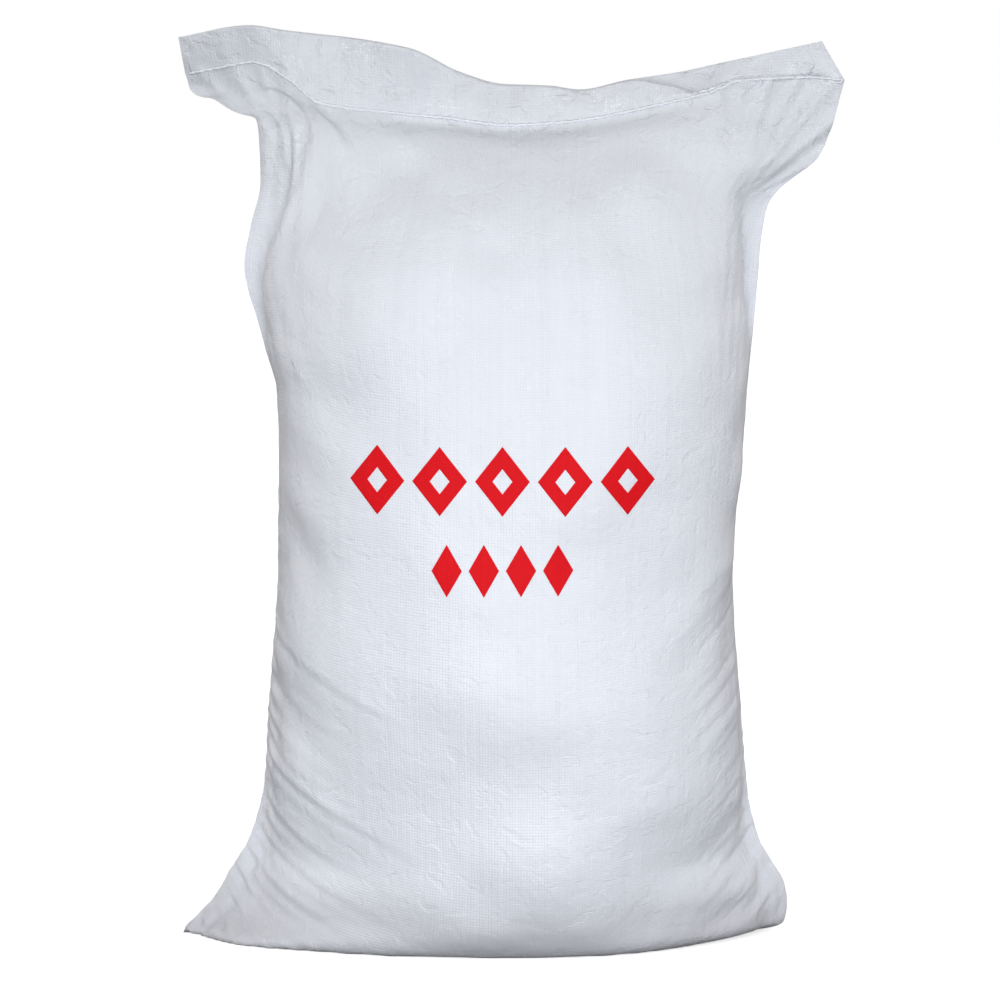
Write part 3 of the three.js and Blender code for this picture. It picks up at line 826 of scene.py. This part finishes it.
def new_group(name, kind, inputs, outputs):
    """A node group with named sockets, and its input and output nodes."""
    tree = bpy.data.node_groups.new(name, kind)
    for label, socket, default in inputs:
        made = tree.interface.new_socket(label, in_out="INPUT", socket_type=socket)
        if default is not None:
            made.default_value = default
    for label, socket in outputs:
        tree.interface.new_socket(label, in_out="OUTPUT", socket_type=socket)
    return tree, tree.nodes.new("NodeGroupInput"), tree.nodes.new("NodeGroupOutput")


def weave_group(name):
    """Flat tapes woven over and under each other: their relief, and a tone that changes from tape to tape."""
    tree, given, made = new_group(
        name,
        "ShaderNodeTree",
        [
            ("Map", "NodeSocketVector", None),
            ("Tapes", "NodeSocketFloat", 500),
            ("Waver", "NodeSocketFloat", WAVER),
        ],
        [(label, "NodeSocketFloat") for label in ("Height", "Tone", "Streak", "Glint")],
    )
    place = vector_step(tree, "MULTIPLY", given.outputs["Map"], given.outputs["Tapes"])
    drift = noise(tree, place, 0.11, 2.0, noise_dimensions="2D").outputs["Color"]
    drift = vector_step(tree, "SUBTRACT", drift, (0.5, 0.5, 0.5))
    place = vector_step(tree, "MULTIPLY_ADD", drift, given.outputs["Waver"], place)
    split = add_node(tree, "ShaderNodeSeparateXYZ", {0: place})
    cells, flat, arched, waves = [], [], [], []
    for axis in (0, 1):
        cells.append(calculate(tree, "FLOOR", split.outputs[axis]))
        part = calculate(tree, "FRACT", split.outputs[axis])
        centred = calculate(tree, "ABSOLUTE", calculate(tree, "MULTIPLY_ADD", part, 2.0, -1.0))
        flat.append(calculate(tree, "SUBTRACT", 1.0, calculate(tree, "POWER", centred, TAPE_FLATNESS)))
        waves.append(calculate(tree, "SINE", calculate(tree, "MULTIPLY", part, math.pi)))
        arched.append(calculate(tree, "MULTIPLY_ADD", waves[axis], TAPE_ARCH, 1 - TAPE_ARCH))
    over = calculate(tree, "MODULO", calculate(tree, "ADD", *cells), 2.0)
    upright = calculate(tree, "MULTIPLY", flat[0], arched[1])
    level = calculate(tree, "MULTIPLY", flat[1], arched[0])
    random = add_node(
        tree, "ShaderNodeTexWhiteNoise", {"W": calculate(tree, "ADD", cells[0], 0.5)}, noise_dimensions="1D"
    )
    crossing = combine(tree, {0: cells[0], 1: cells[1]})
    chance = add_node(tree, "ShaderNodeTexWhiteNoise", {"Vector": crossing}, noise_dimensions="2D")
    patches = noise(tree, place, 0.045, 3.0, noise_dimensions="2D").outputs["Fac"]
    # A mask for painted glints: bright specks on some crossings, in patches.
    glint = remap(tree, chance.outputs["Value"], *GLINT_CHANCE)
    glint = calculate(tree, "MULTIPLY", glint, remap(tree, patches, *GLINT_PATCHES))
    stretched = vector_step(tree, "MULTIPLY", place, (1.0, 0.02, 1.0))
    results = {
        "Height": blend(tree, over, level, upright),
        "Tone": blend(tree, over, 0.5, random.outputs["Value"]),
        "Streak": noise(tree, stretched, 0.42, 3.0, noise_dimensions="2D").outputs["Fac"],
        "Glint": calculate(tree, "MULTIPLY", glint, calculate(tree, "MULTIPLY", *waves)),
    }
    for label, socket in results.items():
        tree.links.new(socket, made.inputs[label])
    return tree


def crinkle_group(name):
    """The small sharp crinkles of stiff film: their relief, and a mask that is 1 along their ridges."""
    tree, given, made = new_group(
        name,
        "ShaderNodeTree",
        [("Place", "NodeSocketVector", None), ("Scale", "NodeSocketFloat", 60)],
        [("Height", "NodeSocketFloat"), ("Ridges", "NodeSocketFloat")],
    )
    bends = noise(tree, given.outputs["Place"], given.outputs["Scale"], 3.0)
    bends.inputs["Distortion"].default_value = 0.6
    bends = bends.outputs["Fac"]
    ridge = calculate(tree, "ABSOLUTE", calculate(tree, "MULTIPLY_ADD", bends, 2.0, -1.0))
    ridge = calculate(tree, "MINIMUM", calculate(tree, "MULTIPLY", ridge, 3.0), 1.0)
    ridge = calculate(tree, "SUBTRACT", 1.0, ridge)
    tree.links.new(calculate(tree, "MULTIPLY_ADD", ridge, 0.35, bends), made.inputs["Height"])
    tree.links.new(ridge, made.inputs["Ridges"])
    return tree


def shared_group(name, build):
    """A node group that is built once."""
    return bpy.data.node_groups.get(name) or build(name)


def new_material(name):
    """A material with only its Principled shader, and its tree and shader."""
    material = bpy.data.materials.new(name)
    material.use_nodes = True
    tree = material.node_tree
    return material, tree, tree.nodes["Principled BSDF"]


def set_relief(tree, shader, height, distance=MILLIMETRE, strength=1.0):
    """Gives a material its fine relief."""
    relief = add_node(tree, "ShaderNodeBump", {"Height": height, "Distance": distance, "Strength": strength})
    tree.links.new(relief.outputs["Normal"], shader.inputs["Normal"])


def weave_nodes(tree, tape_width):
    """The outputs of the weave group on the weave map, and of the crinkle group on the object's own place."""
    inputs = {
        "Map": add_node(tree, "ShaderNodeUVMap", uv_map=WEAVE_MAP).outputs["UV"],
        "Tapes": WEAVE_UNIT * MILLIMETRE / tape_width,
        "Waver": WAVER,
    }
    weave = add_node(tree, "ShaderNodeGroup", inputs, node_tree=shared_group("Tape Weave", weave_group))
    inputs = {"Place": object_place(tree), "Scale": CRINKLE_SCALE}
    crinkle = add_node(tree, "ShaderNodeGroup", inputs, node_tree=shared_group("Film Crinkle", crinkle_group))
    return weave.outputs, crinkle.outputs


def shaded(colour, share=1.0):
    """A colour made darker or lighter, as a shader takes it."""
    return (*(min(1, share * part) for part in colour), 1)


def woven_material(cloth):
    """Cool white woven tape with upright streaks and a soft gloss; its glints, the weave's light and shade,
    the crinkles' highlights and the shade near the floor are painted.
    """
    material, tree, shader = new_material("woven_sack")
    weave, crinkle = weave_nodes(tree, cloth.tape_width)
    filled = add_node(tree, "ShaderNodeAttribute", attribute_name=FILLED).outputs["Fac"]
    white = blend_colours(tree, filled, shaded(cloth.empty_colour), shaded(cloth.colour))
    # The darker colour serves both the random tone of the tapes and the painted shade of the weave.
    shade = blend_colours(tree, filled, shaded(cloth.empty_colour, 0.86), shaded(cloth.colour, 0.9))
    # Random tone from tape to tape and the upright streaks are the cloth's own.
    tone = calculate(tree, "MULTIPLY", weave["Tone"], 0.2)
    tone = calculate(tree, "MULTIPLY_ADD", weave["Streak"], 0.5, tone)
    # Painted light and shade of the weave: the tapes' raised middles are painted lighter and their dips
    # darker.
    tone = calculate(tree, "MULTIPLY_ADD", weave["Height"], 0.6, tone)
    # Painted highlights along the crinkles' ridges, stronger where no sugar lies behind the cloth.
    tone = calculate(tree, "MULTIPLY_ADD", crinkle["Ridges"], remap(tree, filled, 0, 1, 0.35, 0.08), tone)
    colour = blend_colours(tree, remap(tree, tone, 0, 1, -0.1, 1.1), shade, white)
    height = add_node(tree, "ShaderNodeSeparateXYZ", {0: object_place(tree)}).outputs[2]
    # Painted shade near the floor: the cloth's colour turns greyer and darker towards it.
    dust = remap(tree, height, 0, FLOOR_SHADE_TOP, cloth.dust, 0, interpolation_type="SMOOTHSTEP")
    colour = blend_colours(tree, dust, colour, shaded(cloth.dust_colour))
    # Painted glints: some crossings are painted a lighter colour, more strongly higher up, and are also
    # glossier.
    glints = calculate(tree, "MULTIPLY", weave["Glint"], remap(tree, height, *GLINT_HEIGHTS, LOW_GLINTS, 1))
    colour = blend_colours(tree, glints, colour, shaded(cloth.colour, 1.14))
    tree.links.new(colour, shader.inputs["Base Color"])
    gloss = remap(tree, weave["Tone"], 0, 1, cloth.roughness - 0.05, cloth.roughness + 0.07)
    gloss = calculate(tree, "MULTIPLY_ADD", crinkle["Ridges"], -0.1, gloss)
    gloss = calculate(tree, "MULTIPLY_ADD", glints, -0.2, gloss)
    tree.links.new(gloss, shader.inputs["Roughness"])
    relief = calculate(tree, "MULTIPLY", crinkle["Height"], remap(tree, filled, 0, 1, 1.6, 0.75))
    relief = calculate(tree, "MULTIPLY_ADD", weave["Height"], 0.2, relief)
    set_relief(tree, shader, calculate(tree, "MULTIPLY_ADD", weave["Streak"], 0.5, relief))
    shader.inputs["Specular IOR Level"].default_value = 0.4
    return material


def ink_material(ink, cloth):
    """Red ink that takes on the weave under it."""
    material, tree, shader = new_material("print_ink")
    weave, crinkle = weave_nodes(tree, cloth.tape_width)
    red, green, blue = ink.colour
    worn = (min(1, red * 1.06), green + 0.005, blue + 0.005, 1)
    tone = calculate(tree, "MULTIPLY", weave["Tone"], weave["Streak"])
    tree.links.new(blend_colours(tree, tone, shaded(ink.colour), worn), shader.inputs["Base Color"])
    tree.links.new(remap(tree, weave["Tone"], 0, 1, 0.55, 0.65), shader.inputs["Roughness"])
    relief = calculate(tree, "MULTIPLY", weave["Height"], 0.1)
    set_relief(tree, shader, calculate(tree, "MULTIPLY_ADD", crinkle["Height"], 0.4, relief))
    shader.inputs["Specular IOR Level"].default_value = 0.08
    return material


def thread_material(thread):
    """White spun thread, matt and slightly fuzzy."""
    material, tree, shader = new_material("sewing_thread")
    fibres = noise(tree, object_place(tree), 1800.0, 2.0).outputs["Fac"]
    colour = blend_colours(tree, fibres, shaded(thread.colour, 0.92), shaded(thread.colour))
    tree.links.new(colour, shader.inputs["Base Color"])
    tree.links.new(remap(tree, fibres, 0, 1, 0.7, 0.9), shader.inputs["Roughness"])
    set_relief(tree, shader, fibres, 0.2 * MILLIMETRE, 0.6)
    return material


def stitch_tree(name, looped):
    """A node tree that lays stitches of twisted thread along a path: straight ones, or a chain of loops."""
    tree, given, made = new_group(
        name,
        "GeometryNodeTree",
        [
            ("Path", "NodeSocketGeometry", None),
            ("Pitch", "NodeSocketFloat", 0.007),
            ("Thread", "NodeSocketFloat", 0.0012),
            ("Outwards", "NodeSocketVector", None),
            ("Roll", "NodeSocketFloat", 0.2),
            ("Seed", "NodeSocketInt", SEED),
            ("Material", "NodeSocketMaterial", None),
        ],
        [("Stitches", "NodeSocketGeometry")],
    )
    inputs = given.outputs

    def scaled(name, share):
        return calculate(tree, "MULTIPLY", inputs[name], share)

    path = add_node(tree, "GeometryNodeMeshToCurve", {0: inputs["Path"]}).outputs[0]
    places = add_node(
        tree, "GeometryNodeResampleCurve", {"Curve": path, "Length": inputs["Pitch"]}, mode="LENGTH"
    ).outputs[0]
    if looped:
        parts = {"Resolution": 14, "Radius": 1.0}
        ring = add_node(tree, "GeometryNodeCurvePrimitiveCircle", parts).outputs[0]
        size = combine(tree, {0: scaled("Pitch", LOOP_REACH), 1: scaled("Thread", LOOP_WIDTH), 2: 1.0})
        lift = combine(tree, {2: scaled("Thread", LOOP_LIFT)})
        parts = {0: ring, "Scale": size, "Translation": lift}
        line = add_node(tree, "GeometryNodeTransform", parts).outputs[0]
    else:
        ends = [
            combine(tree, {0: scaled("Pitch", side * STITCH_REACH), 2: scaled("Thread", height)})
            for side, height in ((-1, 0.0), (0, 1.0), (1, 0.0))
        ]
        parts = {"Resolution": 8, "Start": ends[0], "Middle": ends[1], "End": ends[2]}
        line = add_node(tree, "GeometryNodeCurveQuadraticBezier", parts).outputs[0]
    length = add_node(tree, "GeometryNodeSplineParameter").outputs["Length"]
    twist = calculate(tree, "MULTIPLY", calculate(tree, "DIVIDE", length, inputs["Thread"]), THREAD_TWIST)
    line = add_node(tree, "GeometryNodeSetCurveTilt", {0: line, "Tilt": twist}).outputs[0]
    radii = {"Inner Radius": scaled("Thread", PLY_INNER), "Outer Radius": scaled("Thread", PLY_OUTER)}
    section = add_node(tree, "GeometryNodeCurveStar", {"Points": 3, **radii}).outputs[0]
    parts = {"Curve": line, "Profile Curve": section, "Fill Caps": True}
    stitch = add_node(tree, "GeometryNodeCurveToMesh", parts).outputs[0]
    along = add_node(tree, "GeometryNodeInputTangent").outputs[0]
    kind = "FunctionNodeAlignRotationToVector"
    turned = add_node(tree, kind, {"Vector": along}, axis="X", pivot_axis="AUTO").outputs[0]
    facing = {"Rotation": turned, "Vector": inputs["Outwards"]}
    turned = add_node(tree, kind, facing, axis="Z", pivot_axis="X").outputs[0]
    limits = {2: scaled("Roll", -1.0), 3: inputs["Roll"], 8: inputs["Seed"]}
    chance = add_node(tree, "FunctionNodeRandomValue", limits, data_type="FLOAT").outputs[1]
    roll = add_node(tree, "FunctionNodeAxisAngleToRotation", {"Axis": (0, 0, 1), "Angle": chance}).outputs[0]
    turned = add_node(
        tree, "FunctionNodeRotateRotation", {0: turned, 1: roll}, rotation_space="LOCAL"
    ).outputs[0]
    parts = {"Points": places, "Instance": stitch, "Rotation": turned}
    placed = add_node(tree, "GeometryNodeInstanceOnPoints", parts).outputs[0]
    real = add_node(tree, "GeometryNodeRealizeInstances", {0: placed}).outputs[0]
    done = add_node(tree, "GeometryNodeSetMaterial", {0: real, "Material": inputs["Material"]}).outputs[0]
    tree.links.new(done, made.inputs[0])
    return tree


def run_modifier(mesh, kind, set_up):
    """The plain mesh that one modifier makes from a mesh."""
    source = bpy.data.objects.new(mesh.name + "_source", mesh)
    bpy.context.scene.collection.objects.link(source)
    set_up(source.modifiers.new("Maker", kind))
    result = bpy.data.meshes.new_from_object(source.evaluated_get(bpy.context.evaluated_depsgraph_get()))
    bpy.data.objects.remove(source)
    bpy.data.meshes.remove(mesh)
    return result


def run_nodes(mesh, tree, values):
    """The plain mesh that a node tree makes from a mesh, with its named inputs set."""

    def set_up(modifier):
        modifier.node_group = tree
        for socket in tree.interface.items_tree:
            if socket.in_out == "INPUT" and socket.name in values:
                modifier[socket.identifier] = values[socket.name]

    return run_modifier(mesh, "NODES", set_up)


def print_shape(width, tall, hole):
    """A lozenge round the origin as (across, up) points and the faces between them, open or not."""
    rim = np.linspace(1, max(hole, PRINT_RIM), PRINT_RIM_LINES)
    lines = np.concatenate([-rim, np.linspace(-rim[-1], rim[-1], PRINT_MIDDLE_LINES)[1:-1], rim[::-1]])
    a, b = np.meshgrid(lines, lines, indexing="ij")
    points = np.stack([(a - b) * width / 4, (a + b) * tall / 4], -1)
    count = len(lines)
    numbers = np.arange(count * count).reshape(count, count)
    faces = np.stack([numbers[:-1, :-1], numbers[1:, :-1], numbers[1:, 1:], numbers[:-1, 1:]], -1)
    middles = (lines[1:] + lines[:-1]) / 2
    kept = np.maximum(*np.abs(np.meshgrid(middles, middles, indexing="ij"))) > hole
    faces = faces[kept]
    used, packed = np.unique(faces, return_inverse=True)
    return points.reshape(-1, 2)[used], packed.reshape(-1, 4)


def lay_on_skin(places, tree, points, numbers, skin_map):
    """Points of the skin's front straight behind (across, up) places in metres, and the weave map there."""
    laid, mapped = [], []
    for across, up in places:
        spot, normal, face, _ = tree.ray_cast((across, -1, up), (0, 1, 0))
        if spot is None:
            raise RuntimeError("A printed mark lies beside the sack.")
        corners = points[numbers[face]]
        side = corners[1] - corners[0]
        rise = corners[3] - corners[0]
        offset = np.array(spot) - corners[0]
        a = float(offset @ side / (side @ side))
        b = float(offset @ rise / (rise @ rise))
        first, second, _, fourth = skin_map[face]
        mapped.append(first + a * (second - first) + b * (fourth - first))
        laid.append(np.array(spot) + np.array(normal) * PRINT_PROUD * MILLIMETRE)
    return np.array(laid), np.array(mapped)


def add_print_rows(ink, material):
    """Each printed mark as a thin closed plate on the skin."""
    mesh = built_skin()
    numbers = np.empty(4 * len(mesh.polygons), int)
    mesh.loops.foreach_get("vertex_index", numbers)
    numbers = numbers.reshape(-1, 4)
    skin_map = np.empty(2 * len(mesh.loops))
    mesh.uv_layers[WEAVE_MAP].data.foreach_get("uv", skin_map)
    skin_map = skin_map.reshape(-1, 4, 2)
    points = np.array([vertex.co for vertex in mesh.vertices])
    tree = BVHTree.FromPolygons(points.tolist(), numbers.tolist())
    for row, marks in (("upper", UPPER_PRINT), ("lower", LOWER_PRINT)):
        shape, faces = print_shape(marks["width"], marks["tall"], marks["hole"])
        for i in range(marks["count"]):
            middle = (PRINT_MIDDLE + (i - (marks["count"] - 1) / 2) * marks["pitch"], marks["height"])
            laid, mapped = lay_on_skin((shape + middle) * MILLIMETRE, tree, points, numbers, skin_map)
            sheet = bpy.data.meshes.new(f"ink_{row}_{i + 1}")
            sheet.from_pydata(laid.tolist(), [], faces.tolist())
            add_map(sheet, mapped[faces])
            sheet.materials.append(material)

            def set_up(modifier):
                modifier.thickness = ink.thickness
                modifier.offset = -1

            plate = run_modifier(sheet, "SOLIDIFY", set_up)
            plate.name = f"print_mark_{row}_{i + 1}"
            new_piece(plate.name, plate, material, [f"print_{row}_{i + 1}"])


def aim(thing, place, target):
    """Puts a light or camera at a place and turns it to face a target."""
    thing.location = place
    thing.rotation_euler = (Vector(target) - Vector(place)).to_track_quat("-Z", "Y").to_euler()


def add_light(name, place, target, size, power, colour):
    """A soft square light."""
    light = bpy.data.lights.new(name, "AREA")
    light.size = size
    light.energy = power
    light.color = colour
    lamp = bpy.data.objects.new(name, light)
    bpy.context.scene.collection.objects.link(lamp)
    aim(lamp, place, target)


def floor_material(stage):
    """A pale floor that looks white to the camera and throws little light back up."""
    material, tree, shader = new_material("pale_floor")
    seen = add_node(tree, "ShaderNodeLightPath").outputs["Is Camera Ray"]
    white, dim = shaded(stage.floor_colour), shaded(stage.floor_colour, FLOOR_SHARE)
    tree.links.new(blend_colours(tree, seen, dim, white), shader.inputs["Base Color"])
    shader.inputs["Roughness"].default_value = 0.9
    shader.inputs["Specular IOR Level"].default_value = 0.0
    shader.inputs["Emission Color"].default_value = (1, 1, 1, 1)
    tree.links.new(remap(tree, seen, 0, 1, 0, stage.floor_glow), shader.inputs["Emission Strength"])
    return material


def set_world(stage):
    """White to the camera, and a soft light for everything else, brighter from the sides than from above."""
    world = bpy.data.worlds.new("studio")
    world.use_nodes = True
    bpy.context.scene.world = world
    tree = world.node_tree
    seen = add_node(tree, "ShaderNodeLightPath").outputs["Is Camera Ray"]
    direction = add_node(tree, "ShaderNodeTexCoord").outputs["Generated"]
    upwards = add_node(tree, "ShaderNodeSeparateXYZ", {0: direction}).outputs[2]
    strength = blend(tree, seen, remap(tree, upwards, 0, 1, stage.fill, stage.overhead), 1.0)
    tint = blend_colours(tree, seen, (*stage.fill_colour, 1), (1, 1, 1, 1))
    background = tree.nodes["Background"]
    tree.links.new(tint, background.inputs["Color"])
    tree.links.new(strength, background.inputs["Strength"])


class SackCloth(bpy.types.PropertyGroup):
    """Sizes and finish of the woven cloth."""

    tape_width: bpy.props.FloatProperty(
        name="Tape width", description="Width of one woven tape", default=0.0024, min=0.001,
        subtype="DISTANCE", unit="LENGTH",
    )
    fold_depth: bpy.props.FloatProperty(
        name="Fold depth", description="How strongly the folds start before the cloth settles", default=1.0,
        min=0, subtype="FACTOR",
    )
    settling: bpy.props.IntProperty(
        name="Settling", description="How many rounds the cloth settles for", default=160, min=1
    )
    colour: bpy.props.FloatVectorProperty(
        name="Colour", description="Colour of the tape over the sugar", default=(0.79, 0.832, 0.903), min=0,
        max=1, subtype="COLOR",
    )
    empty_colour: bpy.props.FloatVectorProperty(
        name="Empty colour", description="Colour of the tape where there is no sugar behind it",
        default=(0.712, 0.75, 0.806), min=0, max=1, subtype="COLOR",
    )
    roughness: bpy.props.FloatProperty(
        name="Roughness", description="How dull the tape is", default=0.42, min=0, max=1, subtype="FACTOR"
    )
    # Painted shade at the floor: how strongly it greys the cloth, and in which colour.
    dust: bpy.props.FloatProperty(
        name="Floor shade", description="How grey the cloth is at the floor", default=0.85, min=0, max=1,
        subtype="FACTOR",
    )
    dust_colour: bpy.props.FloatVectorProperty(
        name="Floor shade colour", description="Colour of the cloth at the floor", default=(0.57, 0.585, 0.63),
        min=0, max=1, subtype="COLOR",
    )


class SackThread(bpy.types.PropertyGroup):
    """Sizes and colour of the closing stitches."""

    pitch: bpy.props.FloatProperty(
        name="Stitch length", description="Distance from one stitch to the next", default=0.0078, min=0.002,
        subtype="DISTANCE", unit="LENGTH",
    )
    thickness: bpy.props.FloatProperty(
        name="Thread thickness", description="Thickness of the sewing thread", default=0.0026, min=0.0003,
        subtype="DISTANCE", unit="LENGTH",
    )
    colour: bpy.props.FloatVectorProperty(
        name="Colour", description="Colour of the thread", default=(0.9, 0.935, 1.0), min=0, max=1,
        subtype="COLOR",
    )


class SackInk(bpy.types.PropertyGroup):
    """Colour and thickness of the printed marks."""

    colour: bpy.props.FloatVectorProperty(
        name="Colour", description="Colour of the ink", default=(0.7, 0.006, 0.012), min=0, max=1,
        subtype="COLOR",
    )
    thickness: bpy.props.FloatProperty(
        name="Thickness", description="Thickness of the ink's plate, most of it in the cloth", default=0.0006,
        min=0.0001, subtype="DISTANCE", unit="LENGTH",
    )


class SackStage(bpy.types.PropertyGroup):
    """Light, floor and camera."""

    floor_colour: bpy.props.FloatVectorProperty(
        name="Floor colour", description="Colour of the floor", default=(0.9, 0.9, 0.9), min=0, max=1,
        subtype="COLOR",
    )
    floor_glow: bpy.props.FloatProperty(
        name="Floor glow", description="How much whiter the camera sees the floor", default=0.6, min=0
    )
    key_power: bpy.props.FloatProperty(
        name="Front light", description="Power of the light in front", default=18, min=0, unit="POWER"
    )
    low_power: bpy.props.FloatProperty(
        name="Low light", description="Power of the small light low in front", default=3.3, min=0,
        unit="POWER",
    )
    key_colour: bpy.props.FloatVectorProperty(
        name="Front light colour", description="Colour of both lights in front", default=(0.98, 1.0, 1.05),
        min=0, max=2, subtype="COLOR",
    )
    fill_colour: bpy.props.FloatVectorProperty(
        name="Soft light colour", description="Colour of the soft light all round",
        default=(1.035, 1.0, 0.975), min=0, max=2, subtype="COLOR",
    )
    fill: bpy.props.FloatProperty(
        name="Side light", description="Strength of the soft light near the horizon", default=1.45, min=0
    )
    overhead: bpy.props.FloatProperty(
        name="Overhead light", description="Strength of the soft light from above", default=0.25, min=0
    )
    camera_distance: bpy.props.FloatProperty(
        name="Camera distance", description="Distance from the camera to the middle of the sack", default=4.0,
        min=1, subtype="DISTANCE", unit="LENGTH",
    )
    camera_rise: bpy.props.FloatProperty(
        name="Camera elevation", description="How far the camera looks down", default=math.radians(7.5),
        subtype="ANGLE", unit="ROTATION",
    )
    lens: bpy.props.FloatProperty(
        name="Lens", description="Focal length in millimetres", default=169.4, min=10
    )


class SACK_OT_skin(bpy.types.Operator):
    """Builds the woven sack with its folds and its open flap"""

    bl_idname = "sack.skin"
    bl_label = "Sack"

    def execute(self, context):
        cloth = context.scene.sack_cloth
        mesh = skin_mesh(cloth.fold_depth, cloth.settling)
        new_piece("sack_skin", mesh, woven_material(cloth), ["sack"])
        return {"FINISHED"}


class SACK_OT_stitches(bpy.types.Operator):
    """Sews the mouth shut: straight stitches in front and a chain behind"""

    bl_idname = "sack.stitches"
    bl_label = "Closing stitches"

    def execute(self, context):
        thread = context.scene.sack_thread
        mesh = built_skin()
        row = ring_indices(mesh["rows"], mesh["columns"])[1][mesh["seam_row"]]
        half = mesh["columns"] // 2
        inset = round(half * (1 - THREAD_REACH) / 2)
        material = thread_material(thread)
        for face, line in ((-1, row[: half + 1]), (1, np.roll(row, -half, 0)[: half + 1])):
            line = line[inset : len(line) - inset]
            side = "front" if face < 0 else "back"
            path = bpy.data.meshes.new(f"seam_{side}")
            places = [mesh.vertices[i].co for i in line]
            path.from_pydata(places, [(i, i + 1) for i in range(len(line) - 1)], [])
            values = {
                "Pitch": thread.pitch,
                "Thread": thread.thickness,
                "Outwards": (0, face, 0),
                "Roll": STITCH_ROLL,
                "Seed": SEED,
                "Material": material,
            }
            made = run_nodes(path, stitch_tree(f"Stitches {side}", face > 0), values)
            made.name = f"stitches_{side}"
            new_piece(made.name, made, material, [f"closing_thread_{side}"])
        return {"FINISHED"}


class SACK_OT_print(bpy.types.Operator):
    """Prints two rows of plain red lozenges on the front"""

    bl_idname = "sack.print_marks"
    bl_label = "Print"

    def execute(self, context):
        scene = context.scene
        add_print_rows(scene.sack_ink, ink_material(scene.sack_ink, scene.sack_cloth))
        return {"FINISHED"}


class SACK_OT_stage(bpy.types.Operator):
    """Sets up the floor, the soft light and the camera"""

    bl_idname = "sack.stage"
    bl_label = "Stage"

    def execute(self, context):
        stage = context.scene.sack_stage
        mesh = bpy.data.meshes.new("floor")
        corners = [(x * FLOOR_REACH, y * FLOOR_REACH, 0) for x, y in ((-1, -1), (1, -1), (1, 1), (-1, 1))]
        mesh.from_pydata(corners, [], [(0, 1, 2, 3)])
        mesh.materials.append(floor_material(stage))
        floor = bpy.data.objects.new("floor", mesh)
        context.scene.collection.objects.link(floor)
        set_world(stage)
        add_light("front_light", *FRONT_LIGHT, stage.key_power, stage.key_colour)
        add_light("low_light", *LOW_LIGHT, stage.low_power, stage.key_colour)
        camera = bpy.data.objects.new("camera", bpy.data.cameras.new("camera"))
        camera.data.lens = stage.lens
        context.scene.collection.objects.link(camera)
        target = Vector(CAMERA_TARGET)
        away = Vector((0, -math.cos(stage.camera_rise), math.sin(stage.camera_rise)))
        aim(camera, target + stage.camera_distance * away, target)
        context.scene.camera = camera
        context.scene.view_settings.view_transform = "Standard"
        return {"FINISHED"}


class SACK_PT_panel(bpy.types.Panel):
    """Lists the sack's settings and builders"""

    bl_idname = "SACK_PT_panel"
    bl_label = "Sugar Sack"
    bl_space_type = "VIEW_3D"
    bl_region_type = "UI"
    bl_category = "Sugar Sack"

    def draw(self, context):
        for settings, operator in BUILDERS:
            box = self.layout.box()
            group = getattr(context.scene, settings)
            for name in group.bl_rna.properties.keys():
                if name not in {"rna_type", "name"}:
                    box.prop(group, name)
            box.operator(operator)


BUILDERS = [
    ("sack_cloth", "sack.skin"),
    ("sack_thread", "sack.stitches"),
    ("sack_ink", "sack.print_marks"),
    ("sack_stage", "sack.stage"),
]
GROUPS = {"sack_cloth": SackCloth, "sack_thread": SackThread, "sack_ink": SackInk, "sack_stage": SackStage}
CLASSES = [*GROUPS.values(), SACK_OT_skin, SACK_OT_stitches, SACK_OT_print, SACK_OT_stage, SACK_PT_panel]


def register():
    for kind in CLASSES:
        bpy.utils.register_class(kind)
    for name, group in GROUPS.items():
        setattr(bpy.types.Scene, name, bpy.props.PointerProperty(type=group))


def unregister():
    for name in GROUPS:
        delattr(bpy.types.Scene, name)
    for kind in reversed(CLASSES):
        bpy.utils.unregister_class(kind)


def main():
    register()
    bpy.ops.sack.skin()
    bpy.ops.sack.stitches()
    bpy.ops.sack.print_marks()
    bpy.ops.sack.stage()


if __name__ == "__main__":
    main()
